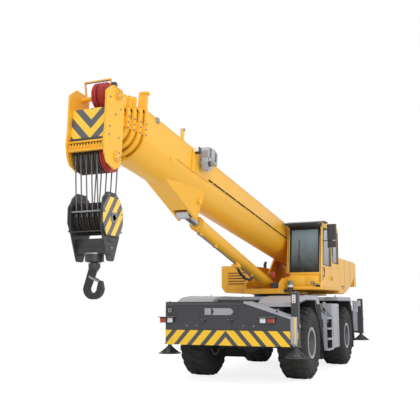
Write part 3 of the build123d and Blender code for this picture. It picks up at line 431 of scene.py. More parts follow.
def make_lens(name, colour):
    """Lamp lens with moulded ribs."""
    material, tree, shader = start_material(name, Coat_Weight=0.8, Emission_Strength=0.0, Roughness=0.12)
    ribs = put(tree, "ShaderNodeTexWave", {"Scale": 24.0, "Distortion": 0.0}, bands_direction="Z")
    tree.links.new(object_place(tree), ribs.inputs["Vector"])
    tone = mix_colour(tree, times(tree, ribs.outputs[1], 0.3), tuple(colour), (0.02, 0.02, 0.02, 1))
    wire(tree, shader, tone, None, ribs.outputs[1], 0.3, 0.004)
    return material


def make_fabric(name, colour):
    """Woven seat cloth."""
    material, tree, shader = start_material(name, Sheen_Weight=0.4, Roughness=0.85)
    weave = put(tree, "ShaderNodeTexChecker", {"Scale": 160.0})
    tree.links.new(object_place(tree), weave.inputs["Vector"])
    tone = mix_colour(tree, times(tree, weave.outputs[1], 0.4), tuple(colour), (0.09, 0.09, 0.1, 1))
    wire(tree, shader, tone, None, weave.outputs[1], 0.25, 0.002)
    return material


def make_plate(name, colour):
    """Checker plate with raised bars on the walked-on decks."""
    material = painted(name, colour, roughness=0.45, dust=0.5, fade=0.2, coat=0.0)
    tree = material.node_tree
    shader = tree.nodes["Principled BSDF"]
    heights = []
    for turn in (0.785, -0.785):
        spin = put(tree, "ShaderNodeMapping", {"Rotation": (0, 0, turn), "Scale": (1, 0.42, 1)})
        bars = put(tree, "ShaderNodeTexVoronoi", {"Scale": 22.0, "Randomness": 0.0}, feature="F1")
        tree.links.new(object_place(tree), spin.inputs[0])
        tree.links.new(spin.outputs[0], bars.inputs["Vector"])
        heights.append(math_node(tree, "LESS_THAN", bars.outputs["Distance"], 0.22))
    add_bump(tree, shader, math_node(tree, "MAXIMUM", heights[0], heights[1]), 0.25, 0.003)
    return material


MATERIALS = {}


def build_materials():
    """Every finish of the crane, by a plain name."""
    paint = paints()
    GROUPS["Weathering"] = build_weather_group()
    GROUPS["Warning Bands"] = build_stripe_group()
    MATERIALS.update(
        yellow=painted("yellow_paint", paint.yellow, roughness=0.38, dust=0.05, fade=0.05, coat=0.12),
        charcoal=painted("charcoal_paint", paint.charcoal, roughness=0.48, dust=0.10, fade=0.04, coat=0.05),
        deck=make_plate("deck_paint", paint.deck),
        panel=painted("grey_panel_paint", paint.deck, roughness=0.4, dust=0.3, fade=0.15, coat=0.1),
        rim=painted("rim_paint", paint.rim, roughness=0.4, dust=0.12, fade=0.08, coat=0.1),
        flange=painted(
            "rim_flange_paint", (0.36, 0.37, 0.40, 1), roughness=0.35, dust=0.1, fade=0.08, coat=0.1
        ),
        tyre=make_rubber("tyre_rubber", paint.rubber, dust=0.22),
        seal=make_rubber("seal_rubber", paint.rubber, dust=0.15, grain=0.1),
        black=painted("black_paint", paint.black, roughness=0.38, dust=0.15, fade=0.05, coat=0.1),
        jack=make_metal("jack_steel", (0.10, 0.10, 0.11, 1), 0.38, (6, 6, 0.3), metallic=0.7),
        steel=make_metal("pin_steel", paint.steel, 0.35),
        chrome=make_metal("rod_chrome", (0.75, 0.76, 0.78, 1), 0.06, scale=25.0, strength=0.02),
        dark_iron=make_metal(
            "dark_iron", (0.05, 0.045, 0.042, 1), 0.45, scale=18.0, strength=0.3, metallic=0.6
        ),
        rope=make_metal("wire_rope", (0.20, 0.20, 0.21, 1), 0.45, (1, 1, 12), scale=30.0, strength=0.5),
        sheaves=make_sheave_material(),
        cast=make_metal("cast_sheave", paint.cast, 0.4, scale=30.0, strength=0.3, metallic=0.5),
        seat=make_fabric("seat_cloth", (0.025, 0.026, 0.03, 1)),
        # the pale blue upper tint is a painted reflection of the sky, fading to the dark tint at the sill
        glass=make_glass("window_glass", (0.012, 0.022, 0.026, 1), (0.34, 0.46, 0.52, 1), 2.80, 3.95),
        mirror=make_metal("mirror_face", (0.6, 0.62, 0.64, 1), 0.03, scale=2.0, strength=0.0),
        red=make_lens("red_lens", paint.red),
        strip_yellow=painted("yellow_reflector", paint.stripe, roughness=0.3, dust=0.05),
        amber=make_lens("amber_lens", (0.75, 0.20, 0.01, 1)),
        teal=make_lens("teal_lens", (0.02, 0.20, 0.19, 1)),
        white=make_lens("clear_lens", (0.85, 0.86, 0.86, 1)),
        blank=painted("blank_plate", (0.30, 0.31, 0.32, 1), roughness=0.4, dust=0.2),
        grey_case=painted("grey_case", (0.33, 0.34, 0.36, 1), roughness=0.4, dust=0.15),
        bumper_band=painted(
            "bumper_bands", paint.stripe, roughness=0.35, dust=0.05, fade=0.03,
            paint_socket=banded(("Y", 0.0), ("Z", BUMPER_LOW), sizes().stripe_pitch, 0.9, 0.62, True, 0.04),
        ),
        end_band=painted(
            "bumper_end_bands", paint.stripe, roughness=0.35, dust=0.15,
            paint_socket=banded(("Y", BEAM_Y), ("Z", BUMPER_LOW), 0.3, 1.0, 0.5, True, 0.05),
        ),
        head_band=painted(
            "head_bands", paint.stripe, roughness=0.35, dust=0.1,
            paint_socket=banded(("Y", 0.04), ("Z", HEAD_AXLE.z + 0.32), 0.30, -0.95, 0.52, True, 0.1),
        ),
        block_band=painted(
            "block_bands", paint.stripe, roughness=0.35, dust=0.1,
            paint_socket=banded(("X", HEAD_AXLE.x), ("Z", low("hook_block").z), 0.235, 0.72, 0.52),
        ),
    )


NODE_FINISH = {
    "yellow": ("turntable_frame", "counterweight", "cab_shell", "cab_door", "louvre_housing", "side_fairing",
               "boom_base", "boom_section_2", "boom_section_3", "boom_section_4", "boom_section_5", "boom_head",
               "luff_barrel"),
    "charcoal": ("carrier_frame", "outrigger_boxes", "axles", "engine_block", "slewing_ring")
    + tuple(f"knuckle_{c}" for c in CORNERS) + tuple(f"outrigger_beam_{c}" for c in CORNERS),
    "deck": ("deck_plates",),
    "panel": ("fuel_tank", "tool_locker", "access_ladders"),
    "rim": tuple(f"rim_{c}" for c in CORNERS),
    "tyre": tuple(f"tyre_{c}" for c in CORNERS),
    "jack": tuple(f"outrigger_jack_{c}" for c in CORNERS),
    "black": ("cab_visor", "hook_block", "lamp_housings", "door_mirrors"),
    "grey_case": ("cable_reel",),
    "chrome": ("luff_rod",),
    "rope": ("rope_falls",),
    "cast": ("block_sheaves",),
    "sheaves": ("head_sheaves",),
    "dark_iron": ("crane_hook", "winch_drums"),
    "seat": ("operator_seat",),
    "glass": ("cab_glazing", "door_glazing"),
}

# ---- Making pieces ----


def finish_piece(name, bm, body, *finishes, smooth=None, slot=None):
    """Turns a bmesh into an object that rides on a body. Edges sharper than smooth, in degrees, stay hard."""
    bmesh.ops.recalc_face_normals(bm, faces=bm.faces[:])
    mesh = bpy.data.meshes.new(name)
    bm.to_mesh(mesh)
    bm.free()
    for finish in finishes:
        mesh.materials.append(MATERIALS[finish])
    piece = bpy.data.objects.new(name, mesh)
    bpy.context.scene.collection.objects.link(piece)
    if smooth is not None:
        shade(mesh, smooth)
    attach(piece, body)
    return piece


def shade(mesh, angle):
    """Smooth shading with edges over an angle kept sharp."""
    bm = bmesh.new()
    bm.from_mesh(mesh)
    for face in bm.faces:
        face.smooth = True
    for edge in bm.edges:
        if len(edge.link_faces) == 2 and edge.calc_face_angle(0) > math.radians(angle):
            edge.smooth = False
    bm.to_mesh(mesh)
    bm.free()


def faces_of(verts):
    """Every face that touches one of the vertices."""
    return {face for vert in verts for face in vert.link_faces}


def paint_faces(faces, index):
    """Gives the faces one of the piece's finishes."""
    for face in faces:
        face.material_index = index


def block(bm, centre, size, bevel=0.0, index=0, turn=None):
    """A box with eased edges. turn is a rotation matrix about its centre."""
    place = Matrix.Translation(Vector(centre)) @ (turn or Matrix()).to_4x4() @ Matrix.Diagonal((*size, 1))
    made = bmesh.ops.create_cube(bm, size=1.0, matrix=place)
    faces = faces_of(made["verts"])
    paint_faces(faces, index)
    if bevel:
        edges = list({edge for face in faces for edge in face.edges})
        bmesh.ops.bevel(
            bm, geom=edges, offset=bevel, affect="EDGES", segments=2, profile=0.5, material=-1,
            clamp_overlap=True,
        )


def along(start, end):
    """A matrix at the middle of two points, whose Z axis runs from one to the other."""
    start, end = Vector(start), Vector(end)
    turn = (end - start).to_track_quat("Z", "Y").to_matrix().to_4x4()
    return Matrix.Translation((start + end) / 2) @ turn


def rod(bm, start, end, radius, segments, index=0, end_radius=None):
    """A round bar or cone between two points."""
    made = bmesh.ops.create_cone(
        bm, cap_ends=True, segments=segments, radius1=radius,
        radius2=radius if end_radius is None else end_radius,
        depth=(Vector(end) - Vector(start)).length, matrix=along(start, end),
    )
    paint_faces(faces_of(made["verts"]), index)


def ball(bm, centre, radius, index, stretch=(1, 1, 1), segments=16):
    """A ball, stretched along the axes."""
    place = Matrix.Translation(Vector(centre)) @ Matrix.Diagonal((*stretch, 1))
    made = bmesh.ops.create_uvsphere(
        bm, u_segments=segments, v_segments=segments // 2, radius=radius, matrix=place
    )
    paint_faces(faces_of(made["verts"]), index)


def plate(bm, outline, depth, index=0):
    """A flat plate: its outline's points in space, pushed by the vector depth."""
    verts = [bm.verts.new(Vector(point)) for point in outline]
    grown = bmesh.ops.extrude_face_region(bm, geom=[bm.faces.new(verts)])["geom"]
    pushed = [item for item in grown if isinstance(item, bmesh.types.BMVert)]
    bmesh.ops.translate(bm, verts=pushed, vec=Vector(depth))
    paint_faces(faces_of(verts + pushed), index)


def strip(bm, start, end, wide, depth):
    """A plate whose outline runs from start to end and is as wide as the vector wide."""
    plate(bm, (start, end, end + Vector(wide), start + Vector(wide)), depth)


def bolt(bm, centre, axis, width, index=0):
    """A six-sided bolt head on a washer, standing along axis."""
    centre, axis = Vector(centre), Vector(axis).normalized()
    rod(bm, centre, centre + axis * width * 0.15, width * 0.85, 12, index)
    rod(bm, centre, centre + axis * width * 0.7, width * 0.55, 6, index)


def bar_run(bm, points, radius, segments, index=0):
    """Round bars from each point to the next."""
    for start, end in zip(points, points[1:]):
        rod(bm, start, end, radius, segments, index)


def crossbar(bm, centre, half, radius, segments, index=0):
    """A round bar that reaches half to each side of centre."""
    rod(bm, centre - ACROSS * half, centre + ACROSS * half, radius, segments, index)


def boom_block(bm, place, size, bevel, index=0):
    """A block at a place measured with boom(), laid along the boom."""
    block(bm, boom(*place), size, bevel, index, BOOM_TURN)


def nod(angle):
    """A turn about the crosswise axis."""
    return Matrix.Rotation(angle, 3, "Y")


def corner_bolts(bm, centre, half, width):
    """Bolts on the corners of a square lid."""
    for dx in (-half, half):
        for dy in (-half, half):
            bolt(bm, centre + Vector((dx, dy, 0)), (0, 0, 1), width, 1)


def bolt_ring(bm, centre, radius, count, axis, width, index, across=(1, 0, 0), up=(0, 0, 1)):
    """Bolts on a circle round centre, in the plane of across and up."""
    for step in range(count):
        angle = 2 * math.pi * step / count
        ray = Vector(across) * math.cos(angle) + Vector(up) * math.sin(angle)
        bolt(bm, centre + ray * radius, axis, width, index)


def spin_ring(bm, outline, centre, axis, steps, index=0):
    """Turns a closed outline of points round an axis into a ring."""
    verts = [bm.verts.new(Vector(point)) for point in outline]
    face = bm.faces.new(verts)
    edges = face.edges[:]
    bmesh.ops.delete(bm, geom=[face], context="FACES_ONLY")
    bmesh.ops.spin(
        bm, geom=verts + edges, cent=Vector(centre), axis=Vector(axis), angle=2 * math.pi, steps=steps,
        use_merge=True,
    )
    faces = faces_of(verts)
    found = set(faces)
    while faces:
        faces = {beside for face in faces for edge in face.edges for beside in edge.link_faces} - found
        found |= faces
    paint_faces(found, index)


def lathe(bm, centre, profile, steps, index=0):
    """A ring round a crosswise axis, by its profile's points: (off the centre, radius)."""
    spin_ring(bm, [centre + Vector((0, y, radius)) for y, radius in profile], centre, ACROSS, steps, index)


# ---- Stage ----


class CRANE_OT_stage(bpy.types.Operator):
    """Pale floor, soft lamps and the camera"""

    bl_idname = "crane.stage"
    bl_label = "Stage"

    def execute(self, context):
        floor_mesh = bpy.data.meshes.new("floor")
        bm = bmesh.new()
        under_tyres = Matrix.Translation((0, 0, -0.002))
        bmesh.ops.create_grid(bm, x_segments=1, y_segments=1, size=90.0, matrix=under_tyres)
        bm.to_mesh(floor_mesh)
        bm.free()
        floor = bpy.data.objects.new("floor", floor_mesh)
        context.scene.collection.objects.link(floor)
        floor_mesh.materials.append(self.floor_material())
        self.add_world(context)
        self.add_lamp(context, "sky_panel", (6, 2, 16), (-1, 0, 1), 14.0, 900)
        self.add_lamp(context, "front_panel", (22, 12, 9), (0, 0, 2.5), 9.0, 1500)
        self.add_lamp(context, "side_panel", (4, 20, 8), (-1, 0, 2), 9.0, 800)
        self.add_lamp(context, "back_panel", (-18, -14, 11), (0, 0, 3), 9.0, 500)
        self.add_camera(context)
        return {"FINISHED"}

    def floor_material(self):
        """A pale floor that the camera sees lit from within, so that its far edge fades."""
        material, tree, shader = start_material("pale_floor", Roughness=0.9, Specular_IOR_Level=0.0)
        tone = mix_colour(tree, object_noise(tree, 0.2, 2.0), (0.86, 0.86, 0.86, 1), (0.88, 0.88, 0.88, 1))
        tree.links.new(tone, shader.inputs["Base Color"])
        glow = put(tree, "ShaderNodeEmission", {"Color": (1, 1, 1, 1), "Strength": 1.35})
        seen = put(tree, "ShaderNodeLightPath")
        blend = put(tree, "ShaderNodeMixShader")
        share = times(tree, seen.outputs["Is Camera Ray"], 0.62)
        tree.links.new(share, blend.inputs[0])
        tree.links.new(shader.outputs[0], blend.inputs[1])
        tree.links.new(glow.outputs[0], blend.inputs[2])
        tree.links.new(blend.outputs[0], tree.nodes["Material Output"].inputs[0])
        return material

    def add_world(self, context):
        """A soft sky that looks white to the camera, in reflections and through glass."""
        world = bpy.data.worlds.new("studio")
        world.use_nodes = True
        context.scene.world = world
        tree = world.node_tree
        back = tree.nodes["Background"]
        seen = put(tree, "ShaderNodeLightPath")
        white = math_node(tree, "MAXIMUM", seen.outputs["Is Camera Ray"], seen.outputs["Is Glossy Ray"])
        white = math_node(tree, "MAXIMUM", white, seen.outputs["Is Transmission Ray"])
        tree.links.new(plus(tree, times(tree, white, 0.35), 0.65), back.inputs[1])
        tone = mix_colour(tree, white, (0.93, 0.96, 1.0, 1), (1, 1, 1, 1))
        tree.links.new(tone, back.inputs[0])

    def add_lamp(self, context, name, place, target, size, power):
        """A square lamp that looks from its place at a target."""
        lamp = bpy.data.lights.new(name, "AREA")
        lamp.size = size
        lamp.energy = power
        holder = bpy.data.objects.new(name, lamp)
        holder.location = place
        holder.rotation_euler = (Vector(place) - Vector(target)).to_track_quat("Z", "Y").to_euler()
        context.scene.collection.objects.link(holder)

    def add_camera(self, context):
        """The camera and the view transform."""
        camera = bpy.data.cameras.new("camera")
        camera.sensor_width = 36.0
        camera.lens = CAMERA_LENS
        camera.clip_end = 300.0
        holder = bpy.data.objects.new("camera", camera)
        yaw, pitch, roll = (math.radians(angle) for angle in CAMERA_ANGLES)
        forward = Vector((-math.cos(yaw) * math.cos(pitch), -math.sin(yaw) * math.cos(pitch), math.sin(pitch)))
        turn = (-forward).to_track_quat("Z", "Y").to_matrix() @ Matrix.Rotation(roll, 3, "Z")
        holder.matrix_world = Matrix.Translation(at(*CAMERA_PLACE)) @ turn.to_4x4()
        context.scene.collection.objects.link(holder)
        context.scene.camera = holder
        context.scene.view_settings.view_transform = "Standard"


class CRANE_OT_finishes(bpy.types.Operator):
    """Paint, rubber, steel and glass on the frame's own solids"""

    bl_idname = "crane.finishes"
    bl_label = "Finishes"

    def execute(self, context):
        build_materials()
        for finish, nodes in NODE_FINISH.items():
            for name in nodes:
                node = frame["nodes"][name]
                node.data.materials.clear()
                node.data.materials.append(MATERIALS[finish])
        bare = set(frame["nodes"]) - {name for nodes in NODE_FINISH.values() for name in nodes}
        if bare:
            raise RuntimeError("nodes without a finish: " + ", ".join(sorted(bare)))
        return {"FINISHED"}


# ---- Wheels ----


class CRANE_OT_tread(bpy.types.Operator):
    """Tread blocks, rim bolts and valves of the four wheels"""

    bl_idname = "crane.tread"
    bl_label = "Wheels"

    def execute(self, context):
        for corner in CORNERS:
            centre = middle(f"tyre_{corner}")
            side = 1 if centre.y > 0 else -1
            half = (high(f"tyre_{corner}").y - low(f"tyre_{corner}").y) / 2
            self.add_tyre(corner, centre, half)
            self.add_rim_parts(corner, centre, side, half)
        return {"FINISHED"}

    def add_tyre(self, corner, centre, half):
        """Carcass with round shoulders, and slanted lugs whose tips lie on the tyre's radius."""
        bead = (high(f"rim_{corner}").z - low(f"rim_{corner}").z) / 2 - 0.035
        crown = TYRE_R - sizes().lug_depth
        wall = [
            (0.285, bead), (0.299, bead + 0.002), (0.312, bead + 0.05), (half - 0.014, 0.52),
            (half, 0.61), (half - 0.006, 0.69), (half - 0.028, 0.765), (half - 0.065, 0.82),
            (0.250, crown - 0.016), (0.13, crown),
        ]
        bm = bmesh.new()
        lathe(bm, centre, wall + [(-y, radius) for y, radius in reversed(wall)], 72)
        pitches = 22
        lugs = (  # distance off the middle, radius, (length round, width, height), tilt, slant
            (0.095, TYRE_R - 0.023, (0.125, 0.150, 0.038), 0.0, 0.30),
            (0.212, TYRE_R - 0.033, (0.120, 0.145, 0.038), 0.15, 0.30),
            (0.303, TYRE_R - 0.068, (0.115, 0.125, 0.030), 0.88, 0.0),
        )
        for side in (-1, 1):
            for step in range(pitches):
                turn = 2 * math.pi * (step + 0.25 * side) / pitches
                for y, radius, size, tilt, slant in lugs:
                    place = Matrix.Translation(centre) @ Matrix.Rotation(turn + y * 0.36 / TYRE_R, 4, "Y")
                    place = place @ Matrix.Translation((0, side * y, radius))
                    place = place @ Matrix.Rotation(-side * tilt, 4, "X")
                    place = place @ Matrix.Rotation(-side * slant, 4, "Z") @ Matrix.Diagonal((*size, 1))
                    bmesh.ops.create_cube(bm, size=1.0, matrix=place)
        piece = finish_piece(f"tread_{corner}", bm, f"wheel_{corner}", "tyre", smooth=32, slot="tyre")
        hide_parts(f"tyre_{corner}")

    def add_rim_parts(self, corner, centre, side, half):
        """Wheel nuts, the hub's cover bolts, the lock ring, the valve and the sidewall's raised rings."""
        out = Vector((0, side, 0))
        bm = bmesh.new()
        bolt_ring(bm, centre + out * 0.062, 0.19, 16, out, 0.026, 1)
        bolt_ring(bm, centre + out * 0.214, 0.07, 8, out, 0.018, 1)
        lock = ((0.262, 0.310), (0.322, 0.335), (0.332, 0.355), (0.328, 0.385), (0.302, 0.385))
        lathe(bm, centre, [(side * y, radius) for y, radius in lock], 64, 2)
        valve = [centre + Vector((x, side * y, 0)) for x, y in ((0.30, 0.26), (0.27, 0.325))]
        bar_run(bm, valve, 0.008, 8, 1)
        wheel = f"wheel_{corner}"
        finish_piece(f"rim_parts_{corner}", bm, wheel, "rim", "steel", "flange", smooth=35, slot="rim_grey")
        bm = bmesh.new()
        for radius, rise, sunk in ((0.47, 0.0024, 0.0375), (0.60, 0.0032, 0.005), (0.745, 0.0028, 0.028)):
            wall = half - sunk
            ring = ((wall - 0.02, -0.012), (wall + rise, -0.006), (wall + rise, 0.006), (wall - 0.02, 0.012))
            lathe(bm, centre, [(side * y, radius + wide) for y, wide in ring], 56)
        finish_piece(f"sidewall_rings_{corner}", bm, wheel, "tyre", smooth=40, slot="tyre")


# ---- Bumper boxes ----


class CRANE_OT_bumper(bpy.types.Operator):
    """Warning bands, lamps, blank plate, hooks and the sloping flange of the two boxes"""

    bl_idname = "crane.bumper"
    bl_label = "Bumpers"

    def execute(self, context):
        self.add_bands()
        self.add_flanges()
        self.add_lamps()
        self.add_fittings()
        return {"FINISHED"}

    def add_bands(self):
        """The striped lower part of both boxes' faces."""
        bm = bmesh.new()
        tall = 0.349
        for x, facing in ((NOSE_X, 1), (TAIL_X, -1)):
            centre = (x + facing * 0.003, 0, BUMPER_LOW + tall / 2)
            block(bm, centre, (0.006, 2 * CARRIER_HALF - 0.012, tall), 0.001)
        finish_piece("bumper_bands", bm, "carrier", "bumper_band", slot="crane_yellow")

    def add_flanges(self):
        """Steel edges of the boxes: a light flange on the front box's slope and lips on the top edges."""
        bm = bmesh.new()
        strip(bm, at(3.43, 0.49, 1.904), at(3.43, 1.60, 1.538), (0, 0, 0.014), (0.58, 0, 0))
        strip(bm, at(FRONT_FACE, 0.46, 1.915), at(FRONT_FACE, 1.60, 1.549), (0, 0, -0.043), (0.022, 0, 0))
        block(bm, at(3.71, 1.589, 1.25), (0.56, 0.012, 0.012), 0.002)
        finish_piece("slope_flange", bm, "carrier", "panel", smooth=30, slot="deck_grey")
        bm = bmesh.new()
        for place, size in (
            ((3.70, -0.55, 1.906), (0.47, 2.02, 0.012)), ((3.99, -0.56, 1.836), (0.012, 2.02, 0.014)),
            ((3.99, 0, BUMPER_LOW + 0.362), (0.014, 3.14, 0.012)), ((-4.60, 0, 1.906), (0.47, 1.0, 0.012)),
        ):
            block(bm, at(*place), size, 0.003)
        for y in (-1.30, -0.66, 0.30):
            block(bm, at(3.987, y, 1.66), (0.008, 0.012, 0.34), 0.002)
        for y in (-1.2, -0.4, 0.4, 1.2):
            block(bm, at(-4.899, y, 1.45), (0.01, 0.014, 0.36), 0.002)
        finish_piece("box_edges", bm, "carrier", "charcoal", smooth=30, slot="chassis_grey")

    def add_lamps(self):
        """Brows over the four lamp groups, and their white, red and amber lenses."""
        brows, lenses = bmesh.new(), bmesh.new()
        shapes = ((-0.10, 0.135, 0.105), (0.075, 0.13, 0.095), (0.162, 0.03, 0.095))  # shift, width and height
        for middle_y, outward in ((-1.53, -1), (1.04, 1)):
            for x, facing in BOX_FACES:
                block(brows, at(x + facing * 0.06, middle_y, 1.554), (0.116, 0.41, 0.006), 0.002)
                for index, (shift, wide, tall) in enumerate(shapes):
                    place = at(x + facing * 0.062, middle_y + outward * shift, 1.472)
                    block(lenses, place, (0.012, wide, tall), 0.004, index)
        finish_piece("lamp_brows", brows, "carrier", "panel", smooth=30, slot="deck_grey")
        finish_piece("lamp_lenses", lenses, "carrier", "white", "red", "amber", smooth=40, slot="trim_black")

    def add_fittings(self):
        """Blank plates, small hooks, towing shackles, their brackets and bolts."""
        bm = bmesh.new()
        plate_z, half = 1.678, 0.080
        block(bm, at(3.989, -0.455, plate_z), (0.008, 0.165, 2 * half), 0.003)
        arrow = (
            (-0.34, -1), (0.125, -1), (0.18, -0.5), (0.193, 0),
            (0.18, 0.5), (0.125, 1), (-0.34, 1), (-0.295, 0),
        )
        plate(bm, [at(FRONT_FACE, y, plate_z + rise * half) for y, rise in arrow], (0.008, 0, 0))
        finish_piece("blank_plates", bm, "carrier", "blank", smooth=30, slot="machined_steel")
        bm = bmesh.new()
        for y in (-0.569, 0.126):
            block(bm, at(4.0, y, 1.50), (0.05, 0.14, 0.012), 0.004, 1)
            rod(bm, at(FRONT_FACE, y, 1.465), at(4.03, y, 1.465), 0.034, 20)
            rod(bm, at(4.03, y, 1.465), at(4.042, y, 1.465), 0.046, 20)
        for x, y, z in ((3.94, 1.265, 1.72), (FRONT_FACE, -1.442, 1.74)):
            block(bm, at(x, y, z - 0.03), (0.10, 0.03, 0.11), 0.006)
            crossbar(bm, at(x + 0.04, y, z), 0.05, 0.012, 10, 1)
            for side in (-1, 1):
                top, foot = at(x + 0.04, y + side * 0.036, z), at(x + 0.05, y + side * 0.03, z - 0.07)
                rod(bm, top, foot, 0.010, 10, 1)
            crossbar(bm, at(x + 0.05, y, z - 0.07), 0.034, 0.012, 10, 1)
        for y in (-1.0, -0.75, 0.45, 0.7):
            for x, facing in BOX_FACES:
                bolt(bm, at(x, y, 1.345), (facing, 0, 0), 0.022, 1)
        # towing jaw on the rear box
        for z in (1.35, 1.47):
            block(bm, at(-4.96, 0, z), (0.13, 0.30, 0.05), 0.01)
        rod(bm, at(-4.98, 0, 1.30), at(-4.98, 0, 1.55), 0.025, 14, 1)
        finish_piece("box_fittings", bm, "carrier", "charcoal", "steel", smooth=35, slot="machined_steel")


# ---- Outriggers ----

POSTS = {  # place of each post and height of its top
    "fl": (3.835, BEAM_Y, 2.10), "fr": (3.57, -BEAM_Y, 1.90),
    "rl": (-4.48, BEAM_Y, 2.01), "rr": (-4.745, -BEAM_Y, 1.90),
}


class CRANE_OT_outriggers(bpy.types.Operator):
    """Reflectors, end plates, caps and bolts of the outriggers' posts and floats"""

    bl_idname = "crane.outriggers"
    bl_label = "Outriggers"

    def execute(self, context):
        for corner, (x, y, top) in POSTS.items():
            self.add_post(corner, x, y, top)
            self.add_float(corner, x, y)
        return {"FINISHED"}

    def add_post(self, corner, x, y, top):
        """Reflectors, lid, collars, lifting eye and striped band of one post, and one beam's end plate."""
        beam = f"beam_{corner}"
        side = 1 if y > 0 else -1
        facing = 1 if x > 0 else -1
        bm = bmesh.new()
        for face in (facing, -facing):
            block(bm, at(x + face * 0.082, y - side * 0.015, top - 0.13), (0.004, 0.085, 0.19), 0.001)
            for step in (-0.06, 0.0, 0.06):
                block(bm, at(x + face * 0.085, y - side * 0.015, top - 0.13 + step), (0.003, 0.03, 0.03), 0, 1)
        finish_piece(f"post_reflectors_{corner}", bm, beam, "white", "red", slot="trim_black")
        bm = bmesh.new()
        block(bm, at(x, y, top + 0.006), (0.18, 0.18, 0.012), 0.004)
        rod(bm, at(x, y, top + 0.01), at(x, y, top + 0.03), 0.035, 16, 1)
        corner_bolts(bm, at(x, y, top + 0.012), 0.06, 0.018)
        block(bm, at(x, y, 0.882), (0.20, 0.20, 0.02), 0.004)
        for z in (1.22, 1.48, 1.72):
            block(bm, at(x, y, z), (0.168, 0.168, 0.01), 0.002)
        # lifting eye of the beam
        rod(bm, at(x, y + side * 0.08, 1.35), at(x, y + side * 0.10, 1.35), 0.05, 18, 1)
        finish_piece(f"post_parts_{corner}", bm, beam, "charcoal", "steel", smooth=35, slot="machined_steel")
        bm = bmesh.new()
        block(bm, at(x + facing * 0.084, y, 1.10), (0.006, 0.15, 0.36), 0.001)
        finish_piece(f"post_bands_{corner}", bm, beam, "end_band", slot="crane_yellow")
        if corner != "fl":
            return
        bm = bmesh.new()
        block(bm, at(3.955, 1.655, 1.255), (0.07, 0.145, 0.62), 0.005)
        block(bm, at(3.93, BEAM_Y, 0.92), (0.06, 0.10, 0.03), 0.004)
        block(bm, at(3.992, 1.69, 1.25), (0.006, 0.035, 0.58), 0.001, 1)
        finish_piece("beam_end_plate", bm, "beam_fl", "panel", "strip_yellow", smooth=30, slot="deck_grey")

    def add_float(self, corner, x, y):
        """Ribs on the float's cone and the collar round the jack's foot."""
        base = at(x, y, low("outrigger_jack_fl").z)
        rib = ((0.06, 0.03), (0.25, 0.018), (0.25, 0.028), (0.09, 0.152))  # radius and height
        bm = bmesh.new()
        for step in range(8):
            angle = math.pi / 4 * (step + 0.5)
            ray = Vector((math.cos(angle), math.sin(angle), 0))
            half_thick = Vector((-ray.y, ray.x, 0)) * 0.006
            outline = [base + ray * radius + Vector((0, 0, z)) - half_thick for radius, z in rib]
            plate(bm, outline, half_thick * 2)
        rod(bm, base + Vector((0, 0, 0.148)), base + Vector((0, 0, 0.178)), 0.085, 24)
        finish_piece(f"float_ribs_{corner}", bm, f"jack_{corner}", "charcoal", smooth=35, slot="chassis_grey")


# ---- Deck and mudguards ----


